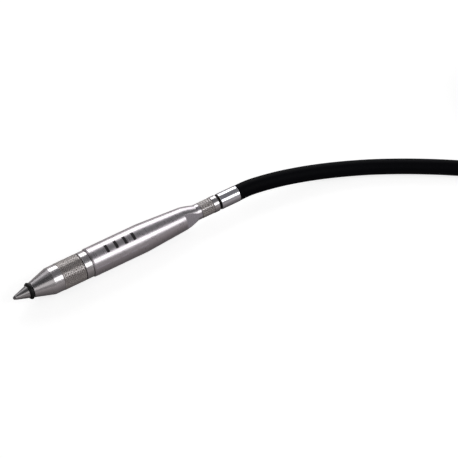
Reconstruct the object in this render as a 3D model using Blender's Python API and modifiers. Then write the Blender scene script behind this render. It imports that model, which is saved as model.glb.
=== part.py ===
"""Air engraving pen with its air hose, modelled as the separate pieces it is assembled from.

The pen lies on its barrel along +X, stylus tip towards -X, at its real size in metres.
Its origin is under the middle of the pen, on the surface that it lies on.
Stations are distances from the stylus tip along the pen's axis.
"""
import math

import bmesh
import bpy
from mathutils import Vector
from mathutils.geometry import convex_hull_2d

mm = 0.001
degree = math.pi / 180
full_turn = 2 * math.pi

# Clearances
SEAT_GAP = 0.3 * mm
THREAD_GAP = 0.1 * mm
RUNNING_GAP = 0.05 * mm
OVERRUN = 1.0 * mm
MERGE_DISTANCE = 0.001 * mm

# Facets round a turned piece
BARREL_STEPS = 40
BODY_STEPS = 32
INNER_STEPS = 24
SMALL_STEPS = 16
SEAL_SIDES = 6
NOSE_STEPS = 4
OGIVE_STEPS = 4
SHARP_ANGLE = 30.0 * degree

# Stylus: a steel cone with a brazed carbide tip, a neck, a shank, a collar and an anvil
CARBIDE_NOSE_RADIUS = 0.7 * mm
CARBIDE_LENGTH = 2.4 * mm
CARBIDE_PIN_RADIUS = 0.9 * mm
CARBIDE_PIN_LENGTH = 4.5 * mm
STYLUS_HEAD_LENGTH = 9.5 * mm
STYLUS_HEAD_RADIUS = 3.6 * mm
STYLUS_HEAD_CHAMFER = 0.2 * mm
STYLUS_SHANK_RADIUS = 2.5 * mm
STYLUS_COLLAR_LENGTH = 3.3 * mm
STYLUS_TRAVEL = 1.0 * mm
ANVIL_STEP = 0.45 * mm
ANVIL_CHAMFER = 0.4 * mm

# Rubber bumper ring between the stylus head and the nose cap
BUMPER_CORD = 2.4 * mm
BUMPER_OUTER_RADIUS = 5.15 * mm

# Nose cap: a cone, a smooth band and a knurled grip, screwed to the cylinder.
# A step is how far a piece lies below the barrel's surface.
NOSE_FACE_CHAMFER = 0.3 * mm
NOSE_FACE_WALL = 1.0 * mm
NOSE_CONE_LENGTH = 12.8 * mm
CAP_BAND_STEP = 0.6 * mm
CAP_BAND_LENGTH = 5.85 * mm
CAP_KNURL_STEP = 0.45 * mm
CAP_KNURL_LENGTH = 14.9 * mm
CAP_EDGE = 0.2 * mm
CAP_FRONT_BORE_LENGTH = 6.2 * mm
CAP_THREAD_LENGTH = 13.75 * mm
CAP_WALL = 1.4 * mm
SPRING_CHAMBER_RADIUS = 5.2 * mm

# Bronze bushing in the nose
BUSHING_WALL = 1.2 * mm
BUSHING_FLANGE_LENGTH = 1.0 * mm

# Stylus return spring
SPRING_WIRE_RADIUS = 0.42 * mm
SPRING_SIDE_GAP = 0.88 * mm
SPRING_CURLS = 5
SPRING_POINTS_PER_CURL = 9
SPRING_DEAD_CURLS = 0.75
SPRING_DEAD_PITCH = 1.0 * mm

# Cylinder with the visible flange between the nose cap and the barrel
CYLINDER_FLANGE_STEP = 0.5 * mm
CYLINDER_FLANGE_LENGTH = 4.8 * mm
CYLINDER_REAR_LENGTH = 33.55 * mm
CYLINDER_WALL = 2.2 * mm
ANVIL_BORE_LENGTH = 9.1 * mm
CYLINDER_EDGE = 0.25 * mm
AIR_PORT_RADIUS = 0.8 * mm
AIR_PORT_SHARES = (0.42, 0.78)

# Hammer piston
PISTON_STROKE = 8.0 * mm
PISTON_REAR_SPACE = 4.7 * mm
PISTON_NOSE_STEP = 1.35 * mm
PISTON_NOSE_LENGTH = 1.6 * mm
PISTON_GROOVE_LENGTH = 3.0 * mm
PISTON_GROOVE_DEPTH = 0.5 * mm
PISTON_BORE_RADIUS = 2.0 * mm
PISTON_BORE_LENGTH = 13.0 * mm
PISTON_PORT_RADIUS = 0.7 * mm

# Head that closes the cylinder and lets the supply air in
HEAD_SPIGOT_LENGTH = 4.0 * mm
HEAD_FLANGE_LENGTH = 2.7 * mm
HEAD_BORE_RADIUS = 1.0 * mm
HEAD_FUNNEL_RADIUS = 2.6 * mm
HEAD_FUNNEL_LENGTH = 1.5 * mm
GASKET_LENGTH = 1.0 * mm
GASKET_BORE_RADIUS = 3.0 * mm

# Barrel: parallel body, taper, shoulder and neck
BARREL_RADIUS = 9.0 * mm
BARREL_MOUTH_STEP = 0.4 * mm
BARREL_MOUTH_LENGTH = 0.5 * mm
BARREL_PARALLEL_LENGTH = 36.85 * mm
BARREL_TAPER_LENGTH = 29.2 * mm
BARREL_SHOULDER_RADIUS = 7.15 * mm
BARREL_OGIVE_LENGTH = 8.7 * mm
BARREL_OGIVE_BULGE = 0.22 * mm
BARREL_NECK_WALL = 1.15 * mm
BARREL_NECK_LENGTH = 2.6 * mm
BARREL_NECK_EDGE = 0.2 * mm
BARREL_WALL = 1.7 * mm
AIR_CHAMBER_RADIUS = 4.5 * mm
AIR_CHAMBER_LENGTH = 15.0 * mm
AIR_CHAMBER_CONE_LENGTH = 2.5 * mm
AIR_PASSAGE_RADIUS = 1.6 * mm
WRENCH_FLAT_BITE = 0.15 * mm
WRENCH_FLAT_LEAD = 0.85 * mm
WRENCH_FLAT_TILT = 16.0 * degree

# Throttle stem screwed into the tail of the barrel
STEM_RADIUS = 3.7 * mm
STEM_THREAD_LENGTH = 16.6 * mm
STEM_WALL_LENGTH = 1.2 * mm
STEM_WALL_SHARE = 0.44
STEM_END_STEP = 0.3 * mm
STEM_REAR_BORE_RADIUS = 2.2 * mm
STEM_PORT_RADIUS = 0.7 * mm
STEM_PORT_OFFSET = 1.5 * mm
STEM_JOINT_SEAL_SETBACK = 2.4 * mm

# Rotating throttle ring
RING_LENGTH = 12.4 * mm
RING_WALL = 1.25 * mm
RING_KNURL_LENGTH = 8.7 * mm
RING_COLLAR_STEP = 0.1 * mm
RING_CHAMFER = 0.35 * mm
RING_EDGE = 0.15 * mm
RING_TURN = 90.0 * degree
RING_POCKET_DEPTH = 0.45 * mm
RING_POCKET_MARGIN = 20.0 * degree
RING_POCKET_SIDE = 1.0 * mm
RING_POCKET_STEPS = 12

# Stop pin in the stem, working in a slot inside the throttle ring
PIN_RADIUS = 0.45 * mm
PIN_REACH = 0.35 * mm
PIN_ROOT_WALL = 0.8 * mm
PIN_SETBACK = 0.7 * mm
SLOT_CLEARANCE = 0.25 * mm
SLOT_MARGIN = 5.0 * degree

# Seals in turned grooves
SEAL_GROOVE_SIDE = 0.1 * mm
CYLINDER_SEAL_CORD = 0.9 * mm
CYLINDER_SEAL_SETBACK = 1.4 * mm
STEM_SEAL_CORD = 0.6 * mm
STEM_SEAL_FRONT_SETBACK = 2.2 * mm
STEM_SEAL_REAR_SETBACK = 2.7 * mm

# Black ring between the throttle ring and the hose ferrule
DUST_RING_CORD = 0.9 * mm

# Filter disc and barbed nipple in the tail of the stem
FILTER_LENGTH = 0.5 * mm
NIPPLE_FLANGE_LENGTH = 1.3 * mm
NIPPLE_THREAD_LENGTH = 4.6 * mm
NIPPLE_BORE_RADIUS = 1.3 * mm
BARB_ROOT_RADIUS = 2.3 * mm
BARB_HEIGHT = 0.45 * mm
BARB_PITCH = 2.6 * mm
BARB_RAMP_SHARE = 0.8
BARB_COUNT = 4

# Hose, its crimped ends and ferrules
HOSE_RADIUS = 4.9 * mm
FERRULE_STEP = 0.15 * mm
FERRULE_WALL = 0.55 * mm
FERRULE_LENGTH = 13.1 * mm
FERRULE_EDGE = 0.2 * mm
HOSE_POINT_PITCH = 12.0 * mm
HOSE_BEVEL_RESOLUTION = 2
# Hose route from the ferrule to the hank: along, across, and the lift off the surface
HOSE_ROUTE = [
    (25.0 * mm, -2.5 * mm, 3.5 * mm),
    (40.3 * mm, -6.0 * mm, 2.4 * mm),
    (55.0 * mm, -10.5 * mm, 1.3 * mm),
    (69.0 * mm, -16.0 * mm, 0.45 * mm),
    (82.4 * mm, -22.5 * mm, 0.04 * mm),
    (95.1 * mm, -30.0 * mm, 0),
    (107.4 * mm, -38.0 * mm, 0),
    (119.4 * mm, -46.5 * mm, 0),
    (131.0 * mm, -55.1 * mm, 0),
    (140.8 * mm, -60.8 * mm, 0),
    (151.1 * mm, -64.2 * mm, 0),
    (161.9 * mm, -65.3 * mm, 0),
    (171.0 * mm, -65.3 * mm, 0),
]
HOSE_RUN_OUT = 8.0 * mm

# Hank of the hose put away: long oval turns, one on another, in line with the pen
COIL_START_X = 194.8 * mm
COIL_START_Y = -65.3 * mm
COIL_STRAIGHT = 84.0 * mm
COIL_BEND_RADIUS = 32.2 * mm
COIL_TURN_GAP = 0.7 * mm
COIL_TURNS = 3.51
COIL_CLIMB_SHARE = 0.36
COIL_RISE_TURNS = 0.2
COIL_POINTS_PER_TURN = 32
COIL_AIM_SHARE = 0.1
COIL_BEVEL_RESOLUTION = 1
COIL_LEAST_GAP = 0.4 * mm

# Strap round the hank
TIE_WIDTH = 11.0 * mm
TIE_THICKNESS = 1.2 * mm
TIE_SLACK = 0.8 * mm
TIE_LIFT_TURNS = 0.11
TIE_CORNER_STEPS = 16

# Inlet fitting on the far end of the hose
FITTING_HEX_SIDES = 6
FITTING_HEX_FLATS = 14.0 * mm
FITTING_HEX_LENGTH = 8.0 * mm
FITTING_HEX_CHAMFER = 0.7 * mm
FITTING_THREAD_RADIUS = 6.58 * mm
FITTING_THREAD_LENGTH = 12.0 * mm
FITTING_THREAD_CHAMFER = 0.9 * mm
FITTING_BORE_RADIUS = 1.7 * mm
FITTING_MOUTH_RADIUS = 3.4 * mm
FITTING_MOUTH_LENGTH = 9.0 * mm

# Stations along the pen, each worked out from the pieces in front of it
stylus_neck_station = STYLUS_HEAD_LENGTH
bumper_station = stylus_neck_station + SEAT_GAP / 2 + BUMPER_CORD / 2
nose_station = bumper_station + BUMPER_CORD / 2 + SEAT_GAP
cone_end_station = nose_station + NOSE_CONE_LENGTH
knurl_station = cone_end_station + CAP_BAND_LENGTH
cap_end_station = knurl_station + CAP_KNURL_LENGTH
cap_thread_station = cap_end_station - CAP_THREAD_LENGTH
chamber_station = nose_station + CAP_FRONT_BORE_LENGTH
bushing_flange_station = chamber_station + SEAT_GAP
bushing_end_station = bushing_flange_station + BUSHING_FLANGE_LENGTH
cylinder_station = cap_thread_station + SEAT_GAP
collar_end_station = cylinder_station - SEAT_GAP
collar_station = collar_end_station - STYLUS_COLLAR_LENGTH
flange_station = cap_end_station + SEAT_GAP
flange_end_station = flange_station + CYLINDER_FLANGE_LENGTH
cylinder_end_station = flange_end_station + CYLINDER_REAR_LENGTH
cylinder_bore_station = cylinder_station + ANVIL_BORE_LENGTH
anvil_end_station = cylinder_bore_station + SEAT_GAP
piston_station = anvil_end_station + SEAT_GAP + PISTON_STROKE
head_flange_station = cylinder_end_station + SEAT_GAP
head_station = head_flange_station - HEAD_SPIGOT_LENGTH
piston_end_station = head_station - PISTON_REAR_SPACE
head_end_station = head_flange_station + HEAD_FLANGE_LENGTH
gasket_station = head_end_station + SEAT_GAP
gasket_end_station = gasket_station + GASKET_LENGTH
barrel_station = flange_end_station + SEAT_GAP
barrel_shoulder_bore_station = gasket_end_station + SEAT_GAP
taper_station = barrel_station + BARREL_MOUTH_LENGTH + BARREL_PARALLEL_LENGTH
ogive_station = taper_station + BARREL_TAPER_LENGTH
neck_station = ogive_station + BARREL_OGIVE_LENGTH
barrel_end_station = neck_station + BARREL_NECK_LENGTH
stem_station = barrel_end_station - STEM_THREAD_LENGTH
ring_station = barrel_end_station + SEAT_GAP
ring_end_station = ring_station + RING_LENGTH
dust_ring_station = ring_end_station + SEAT_GAP + DUST_RING_CORD / 2
stem_end_station = dust_ring_station + DUST_RING_CORD / 2
ferrule_station = stem_end_station + SEAT_GAP
ferrule_end_station = ferrule_station + FERRULE_LENGTH
pen_length = ferrule_end_station

# Radii that follow a neighbour, from the stylus outwards
bumper_centre_radius = BUMPER_OUTER_RADIUS - BUMPER_CORD / 2
stylus_neck_radius = bumper_centre_radius - BUMPER_CORD / 2 - RUNNING_GAP
anvil_radius = STYLUS_SHANK_RADIUS + ANVIL_STEP
bushing_radius = STYLUS_SHANK_RADIUS + BUSHING_WALL
bushing_flange_radius = SPRING_CHAMBER_RADIUS - SEAT_GAP
spring_mean_radius = SPRING_CHAMBER_RADIUS - SPRING_SIDE_GAP - SPRING_WIRE_RADIUS
cap_front_bore_radius = bushing_radius + RUNNING_GAP
nose_face_radius = cap_front_bore_radius + NOSE_FACE_WALL
barrel_mouth_radius = BARREL_RADIUS - BARREL_MOUTH_STEP
barrel_bore_radius = BARREL_RADIUS - BARREL_WALL
cap_band_radius = BARREL_RADIUS - CAP_BAND_STEP
cap_knurl_radius = BARREL_RADIUS - CAP_KNURL_STEP
cap_thread_radius = cap_band_radius - CAP_WALL
cylinder_flange_radius = BARREL_RADIUS - CYLINDER_FLANGE_STEP
cylinder_front_radius = cap_thread_radius - THREAD_GAP
cylinder_rear_radius = barrel_bore_radius - THREAD_GAP
cylinder_bore_radius = cylinder_rear_radius - CYLINDER_WALL
piston_radius = cylinder_bore_radius - RUNNING_GAP
stem_end_radius = STEM_RADIUS - STEM_END_STEP
stem_bore_radius = STEM_RADIUS + RUNNING_GAP
barrel_neck_radius = stem_bore_radius + BARREL_NECK_WALL
wrench_flat_distance = barrel_neck_radius - WRENCH_FLAT_BITE
ring_bore_radius = STEM_RADIUS + RUNNING_GAP
ring_pocket_radius = ring_bore_radius + RING_POCKET_DEPTH
ring_knurl_radius = ring_bore_radius + RING_WALL
ring_collar_radius = ring_knurl_radius + RING_COLLAR_STEP
pin_root_radius = AIR_PASSAGE_RADIUS + PIN_ROOT_WALL
pin_top_radius = STEM_RADIUS + PIN_REACH
slot_radius = pin_top_radius + SLOT_CLEARANCE
dust_ring_outer_radius = stem_end_radius + THREAD_GAP + DUST_RING_CORD
ferrule_radius = HOSE_RADIUS + FERRULE_STEP
ferrule_bore_radius = ferrule_radius - FERRULE_WALL
nipple_flange_radius = ferrule_bore_radius - THREAD_GAP
barb_top_radius = BARB_ROOT_RADIUS + BARB_HEIGHT
hose_end_bore_radius = barb_top_radius + THREAD_GAP
coil_pitch = 2 * HOSE_RADIUS + COIL_TURN_GAP
coil_turn_length = 2 * (COIL_STRAIGHT + math.pi * COIL_BEND_RADIUS)
straight_share = COIL_STRAIGHT / coil_turn_length
hex_apothem = FITTING_HEX_FLATS / 2
hex_corner_radius = hex_apothem / math.cos(math.pi / FITTING_HEX_SIDES)


def clear_scene():
    for thing in list(bpy.data.objects):
        bpy.data.objects.remove(thing, do_unlink=True)


def new_collection(name):
    collection = bpy.data.collections.new(name)
    bpy.context.scene.collection.children.link(collection)
    return collection


def finish(name, colour, roughness, metallic):
    """A material with the piece's colour, roughness and metallic value."""
    material = bpy.data.materials.new(name)
    material.use_nodes = True
    shader = material.node_tree.nodes["Principled BSDF"]
    shader.inputs["Base Color"].default_value = (*colour, 1.0)
    shader.inputs["Roughness"].default_value = roughness
    shader.inputs["Metallic"].default_value = metallic
    material.diffuse_color = (*colour, 1.0)
    return material


clear_scene()
pen_parts = new_collection("air_engraving_pen")
pen_cutters = new_collection("pen_cutters")


def place(thing, name, material, parent, collection=pen_parts):
    """Names an object, gives it its material and its parent, and files it."""
    thing.name = name
    thing.data.name = name
    if material is not None:
        thing.data.materials.clear()
        thing.data.materials.append(material)
    for owner in list(thing.users_collection):
        owner.objects.unlink(thing)
    collection.objects.link(thing)
    thing.parent = parent
    if collection is pen_cutters:
        thing.hide_render = True
        thing.display_type = "WIRE"
    return thing


def axis_frame(name, x, y, z, heading):
    """An empty whose local Z is a level axis: it points along the heading from +X."""
    frame = bpy.data.objects.new(name, None)
    pen_parts.objects.link(frame)
    frame.location = (x, y, z)
    frame.rotation_euler = (0, full_turn / 4, heading)
    return frame


def bake(thing):
    """Replaces an object's mesh and modifiers by the evaluated mesh, shaded smooth."""
    graph = bpy.context.evaluated_depsgraph_get()
    mesh = bpy.data.meshes.new_from_object(thing.evaluated_get(graph))
    thing.modifiers.clear()
    thing.data = mesh
    mesh.shade_smooth()
    mesh.set_sharp_from_angle(angle=SHARP_ANGLE)
    return thing


def turned(name, outline, material, parent, steps, collection=pen_parts):
    """A turned piece: points (radius, station) down its outer side and up its bore."""
    closed = all(radius > 0 for radius, station in outline)
    count = len(outline)
    edges = [(i, i + 1) for i in range(count - 1)]
    if closed:
        edges.append((count - 1, 0))
    mesh = bpy.data.meshes.new(name)
    mesh.from_pydata([(radius, 0, station) for radius, station in outline], edges, [])
    thing = bpy.data.objects.new(name, mesh)
    pen_parts.objects.link(thing)
    screw = thing.modifiers.new("turn", "SCREW")
    screw.axis = "Z"
    screw.angle = full_turn
    screw.steps = steps
    screw.render_steps = steps
    screw.use_merge_vertices = True
    screw.merge_threshold = MERGE_DISTANCE
    bake(thing)
    return place(thing, name, material, parent, collection)


def seal(name, station, outer_radius, cord, material, parent, steps=INNER_STEPS):
    """A round rubber ring of a round cord, centred on a station."""
    bpy.ops.mesh.primitive_torus_add(
        major_radius=outer_radius - cord / 2, minor_radius=cord / 2,
        major_segments=steps, minor_segments=SEAL_SIDES)
    thing = bpy.context.active_object
    thing.location = (0, 0, station)
    thing.data.shade_smooth()
    return place(thing, name, material, parent)


def groove(station, outer_radius, cord, root_radius):
    """Outline points of a square seal groove, from its rear edge to its front edge."""
    half = cord / 2 + SEAL_GROOVE_SIDE
    return [
        (outer_radius, station + half),
        (root_radius, station + half),
        (root_radius, station - half),
        (outer_radius, station - half),
    ]


def cross_drill(name, parent, radius, station, near, far, turn):
    """A round cutter across the pen's axis, from one radius to another, at a turn about it."""
    bpy.ops.mesh.primitive_cylinder_add(
        vertices=SMALL_STEPS, radius=radius, depth=far - near)
    thing = bpy.context.active_object
    middle = (near + far) / 2
    thing.rotation_euler = (0, full_turn / 4, turn)
    thing.location = (middle * math.cos(turn), middle * math.sin(turn), station)
    return place(thing, name, None, parent, pen_cutters)


def cut(thing, cutter, operation="DIFFERENCE"):
    boolean = thing.modifiers.new(cutter.name, "BOOLEAN")
    boolean.operation = operation
    boolean.solver = "EXACT"
    boolean.object = cutter


def sector(name, parent, inner, outer, start, end, first_turn, last_turn):
    """A cutter that is a sector of a thick ring between two stations and two angles."""
    turns = [first_turn + (last_turn - first_turn) * i / RING_POCKET_STEPS
             for i in range(RING_POCKET_STEPS + 1)]
    points = [(outer * math.cos(a), outer * math.sin(a)) for a in turns]
    points += [(inner * math.cos(a), inner * math.sin(a)) for a in reversed(turns)]
    thing = extruded(name, [points], (end - start) / 2, pen_cutters)
    thing.location = (0, 0, (start + end) / 2)
    thing.parent = parent
    return thing


def extruded(name, outlines, half_depth, collection):
    """A flat outline, with any holes as further outlines, made thick both ways and meshed."""
    curve = bpy.data.curves.new(name, "CURVE")
    curve.dimensions = "2D"
    curve.fill_mode = "BOTH"
    curve.extrude = half_depth
    for points in outlines:
        spline = curve.splines.new("POLY")
        spline.points.add(len(points) - 1)
        for point, (x, y) in zip(spline.points, points):
            point.co = (x, y, 0, 1)
        spline.use_cyclic_u = True
    return meshed(name, curve, collection)


def meshed(name, curve, collection):
    """Turns a curve into a closed mesh object, its caps welded."""
    holder = bpy.data.objects.new(name + "_curve", curve)
    pen_parts.objects.link(holder)
    graph = bpy.context.evaluated_depsgraph_get()
    mesh = bpy.data.meshes.new_from_object(holder.evaluated_get(graph))
    work = bmesh.new()
    work.from_mesh(mesh)
    bmesh.ops.remove_doubles(work, verts=work.verts, dist=MERGE_DISTANCE)
    bmesh.ops.recalc_face_normals(work, faces=work.faces)
    work.to_mesh(mesh)
    work.free()
    thing = bpy.data.objects.new(name, mesh)
    pen_parts.objects.link(thing)
    thing.matrix_world = holder.matrix_world
    bpy.data.objects.remove(holder, do_unlink=True)
    return place(thing, name, None, None, collection)


def tube(name, points, radius, resolution, material, parent=None):
    """A round tube through the points, with closed ends."""
    curve = bpy.data.curves.new(name, "CURVE")
    curve.dimensions = "3D"
    curve.twist_mode = "Z_UP"
    curve.bevel_depth = radius
    curve.bevel_resolution = resolution
    curve.use_fill_caps = True
    spline = curve.splines.new("POLY")
    spline.points.add(len(points) - 1)
    for point, place_at in zip(spline.points, points):
        point.co = (*place_at, 1)
    spline.use_smooth = True
    thing = bpy.data.objects.new(name, curve)
    pen_parts.objects.link(thing)
    return place(thing, name, material, parent)


# Finishes
barrel_steel = finish("satin_stainless_steel", (0.62, 0.61, 0.62), 0.28, 1.0)
cap_steel = finish("knurled_stainless_steel", (0.58, 0.57, 0.57), 0.32, 1.0)
inner_steel = finish("hardened_steel", (0.45, 0.45, 0.46), 0.35, 1.0)
chrome = finish("polished_chrome", (0.80, 0.80, 0.82), 0.08, 1.0)
carbide = finish("tungsten_carbide", (0.22, 0.21, 0.21), 0.38, 1.0)
bronze = finish("bearing_bronze", (0.60, 0.42, 0.22), 0.40, 1.0)
brass = finish("machined_brass", (0.78, 0.60, 0.28), 0.30, 1.0)
black_rubber = finish("black_nitrile_rubber", (0.015, 0.015, 0.017), 0.55, 0.0)
hose_rubber = finish("black_hose_rubber", (0.012, 0.012, 0.016), 0.60, 0.0)
strap_fabric = finish("black_strap", (0.02, 0.02, 0.02), 0.85, 0.0)

# The pen lies on its barrel, its middle over the origin
pen = axis_frame("pen_axis", -pen_length / 2, 0, BARREL_RADIUS, 0)


def cone_radius(station):
    """Radius of the stylus cone at a station, carbide tip included."""
    share = station / (STYLUS_HEAD_LENGTH - STYLUS_HEAD_CHAMFER)
    return CARBIDE_NOSE_RADIUS + (STYLUS_HEAD_RADIUS - CARBIDE_NOSE_RADIUS) * share


# Carbide tip: a rounded nose on a short cone, with a pin brazed into the stylus
nose_turns = [full_turn / 4 * i / NOSE_STEPS for i in range(NOSE_STEPS)]
carbide_nose = [
    (CARBIDE_NOSE_RADIUS * math.cos(a), CARBIDE_NOSE_RADIUS * (1 - math.sin(a)))
    for a in nose_turns]
turned("carbide_tip", [
    (0, CARBIDE_LENGTH + CARBIDE_PIN_LENGTH),
    (CARBIDE_PIN_RADIUS, CARBIDE_LENGTH + CARBIDE_PIN_LENGTH),
    (CARBIDE_PIN_RADIUS, CARBIDE_LENGTH),
    (cone_radius(CARBIDE_LENGTH), CARBIDE_LENGTH),
    *carbide_nose,
    (0, 0),
], carbide, pen, SMALL_STEPS)

# Stylus: cone, neck for the bumper ring, shank, collar and anvil
stylus_front = CARBIDE_LENGTH + THREAD_GAP
pin_hole_radius = CARBIDE_PIN_RADIUS + THREAD_GAP
pin_hole_end = CARBIDE_LENGTH + CARBIDE_PIN_LENGTH + SEAT_GAP
stylus_collar_radius = SPRING_CHAMBER_RADIUS - SEAT_GAP
turned("stylus", [
    (0, anvil_end_station),
    (anvil_radius - ANVIL_CHAMFER, anvil_end_station),
    (anvil_radius, anvil_end_station - ANVIL_CHAMFER),
    (anvil_radius, collar_end_station),
    (stylus_collar_radius, collar_end_station),
    (stylus_collar_radius, collar_station),
    (STYLUS_SHANK_RADIUS, collar_station),
    (STYLUS_SHANK_RADIUS, nose_station),
    (stylus_neck_radius, nose_station),
    (stylus_neck_radius, stylus_neck_station),
    (STYLUS_HEAD_RADIUS - STYLUS_HEAD_CHAMFER, stylus_neck_station),
    (STYLUS_HEAD_RADIUS, stylus_neck_station - STYLUS_HEAD_CHAMFER),
    (cone_radius(stylus_front), stylus_front),
    (pin_hole_radius, stylus_front),
    (pin_hole_radius, pin_hole_end),
    (0, pin_hole_end),
], inner_steel, pen, INNER_STEPS)

seal("stylus_bumper_ring", bumper_station, BUMPER_OUTER_RADIUS, BUMPER_CORD,
     black_rubber, pen, BODY_STEPS)

# Nose cap
turned("nose_cap", [
    (cap_knurl_radius - CAP_EDGE, cap_end_station),
    (cap_knurl_radius, cap_end_station - CAP_EDGE),
    (cap_knurl_radius, knurl_station + CAP_EDGE),
    (cap_band_radius, knurl_station),
    (cap_band_radius, cone_end_station),
    (nose_face_radius, nose_station + NOSE_FACE_CHAMFER),
    (nose_face_radius - NOSE_FACE_CHAMFER, nose_station),
    (cap_front_bore_radius, nose_station),
    (cap_front_bore_radius, chamber_station),
    (SPRING_CHAMBER_RADIUS, chamber_station),
    (SPRING_CHAMBER_RADIUS, cap_thread_station),
    (cap_thread_radius, cap_thread_station),
    (cap_thread_radius, cap_end_station),
], cap_steel, pen, BODY_STEPS)

# Bronze bushing that guides the stylus shank
bushing_bore_radius = STYLUS_SHANK_RADIUS + RUNNING_GAP
turned("nose_bushing", [
    (bushing_flange_radius, bushing_end_station),
    (bushing_flange_radius, bushing_flange_station),
    (bushing_radius, bushing_flange_station),
    (bushing_radius, nose_station + STYLUS_TRAVEL),
    (bushing_bore_radius, nose_station + STYLUS_TRAVEL),
    (bushing_bore_radius, bushing_end_station),
], bronze, pen, INNER_STEPS)


# Return spring between the bushing and the stylus collar, with closed ends
def spring_points(start, end):
    """Points of a compression spring whose first and last curls lie close together."""
    count = SPRING_CURLS * SPRING_POINTS_PER_CURL
    dead = SPRING_DEAD_CURLS
    live_curls = SPRING_CURLS - 2 * dead
    live_pitch = (end - start - 2 * dead * SPRING_DEAD_PITCH) / live_curls
    points = []
    for i in range(count + 1):
        curl = i / SPRING_POINTS_PER_CURL
        lead = min(curl, dead)
        tail = max(curl - dead - live_curls, 0)
        live = curl - lead - tail
        height = start + (lead + tail) * SPRING_DEAD_PITCH + live * live_pitch
        angle = full_turn * curl
        points.append((spring_mean_radius * math.cos(angle),
                       spring_mean_radius * math.sin(angle), height))
    return points


spring_inset = SEAT_GAP + SPRING_WIRE_RADIUS
tube("stylus_spring",
     spring_points(bushing_end_station + spring_inset, collar_station - spring_inset),
     SPRING_WIRE_RADIUS, COIL_BEVEL_RESOLUTION, inner_steel, pen)

# Cylinder with its visible flange, two seal grooves and air ports
cap_seal_station = flange_station - CYLINDER_SEAL_SETBACK
barrel_seal_station = flange_end_station + CYLINDER_SEAL_SETBACK + SEAT_GAP
cap_seal_root = cylinder_front_radius - CYLINDER_SEAL_CORD
barrel_seal_root = cylinder_rear_radius - CYLINDER_SEAL_CORD
anvil_bore_radius = anvil_radius + RUNNING_GAP
cylinder = turned("cylinder", [
    (cylinder_rear_radius, cylinder_end_station),
    *groove(barrel_seal_station, cylinder_rear_radius, CYLINDER_SEAL_CORD, barrel_seal_root),
    (cylinder_rear_radius, flange_end_station),
    (cylinder_flange_radius - CYLINDER_EDGE, flange_end_station),
    (cylinder_flange_radius, flange_end_station - CYLINDER_EDGE),
    (cylinder_flange_radius, flange_station + CYLINDER_EDGE),
    (cylinder_flange_radius - CYLINDER_EDGE, flange_station),
    (cylinder_front_radius, flange_station),
    *groove(cap_seal_station, cylinder_front_radius, CYLINDER_SEAL_CORD, cap_seal_root),
    (cylinder_front_radius, cylinder_station),
    (anvil_bore_radius, cylinder_station),
    (anvil_bore_radius, cylinder_bore_station),
    (cylinder_bore_radius, cylinder_bore_station),
    (cylinder_bore_radius, cylinder_end_station),
], inner_steel, pen, BODY_STEPS)
for number, share in enumerate(AIR_PORT_SHARES):
    port_station = flange_end_station + CYLINDER_REAR_LENGTH * share
    cut(cylinder, cross_drill(f"cylinder_port_{number}", pen, AIR_PORT_RADIUS, port_station,
                              -barrel_bore_radius - OVERRUN, barrel_bore_radius + OVERRUN, 0))
seal("cap_seal_ring", cap_seal_station, cylinder_front_radius + RUNNING_GAP,
     CYLINDER_SEAL_CORD - RUNNING_GAP / 2, black_rubber, pen)
seal("barrel_seal_ring", barrel_seal_station, cylinder_rear_radius + RUNNING_GAP,
     CYLINDER_SEAL_CORD - RUNNING_GAP / 2, black_rubber, pen)

# Hammer piston with an air groove, a blind bore and cross ports
piston_groove_station = piston_end_station - PISTON_BORE_LENGTH + PISTON_GROOVE_LENGTH
piston_groove_radius = piston_radius - PISTON_GROOVE_DEPTH
piston = turned("hammer_piston", [
    (0, piston_end_station - PISTON_BORE_LENGTH),
    (PISTON_BORE_RADIUS, piston_end_station - PISTON_BORE_LENGTH),
    (PISTON_BORE_RADIUS, piston_end_station),
    (piston_radius, piston_end_station),
    (piston_radius, piston_groove_station),
    (piston_groove_radius, piston_groove_station),
    (piston_groove_radius, piston_groove_station - PISTON_GROOVE_LENGTH),
    (piston_radius, piston_groove_station - PISTON_GROOVE_LENGTH),
    (piston_radius, piston_station + PISTON_NOSE_LENGTH),
    (piston_radius - PISTON_NOSE_STEP, piston_station),
    (0, piston_station),
], inner_steel, pen, INNER_STEPS)
cut(piston, cross_drill("piston_port", pen, PISTON_PORT_RADIUS,
                        piston_groove_station - PISTON_GROOVE_LENGTH / 2,
                        -piston_radius - OVERRUN, piston_radius + OVERRUN, 0))

# Cylinder head and its gasket against the barrel's inner shoulder
turned("cylinder_head", [
    (cylinder_rear_radius, head_end_station),
    (cylinder_rear_radius, head_flange_station),
    (cylinder_bore_radius - THREAD_GAP, head_flange_station),
    (cylinder_bore_radius - THREAD_GAP, head_station),
    (HEAD_BORE_RADIUS, head_station),
    (HEAD_BORE_RADIUS, head_end_station - HEAD_FUNNEL_LENGTH),
    (HEAD_FUNNEL_RADIUS, head_end_station),
], brass, pen, INNER_STEPS)
turned("head_gasket", [
    (cylinder_rear_radius, gasket_end_station),
    (cylinder_rear_radius, gasket_station),
    (GASKET_BORE_RADIUS, gasket_station),
    (GASKET_BORE_RADIUS, gasket_end_station),
], black_rubber, pen, INNER_STEPS)


# Barrel with its taper, ogive, neck and two wrench flats
def ogive_points():
    """Radius and station of the barrel's round tail, from the neck to the shoulder."""
    points = []
    for i in range(OGIVE_STEPS, -1, -1):
        share = i / OGIVE_STEPS
        line = BARREL_SHOULDER_RADIUS + (barrel_neck_radius - BARREL_SHOULDER_RADIUS) * share
        bulge = 4 * BARREL_OGIVE_BULGE * share * (1 - share)
        points.append((line + bulge, ogive_station + BARREL_OGIVE_LENGTH * share))
    return points


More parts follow.
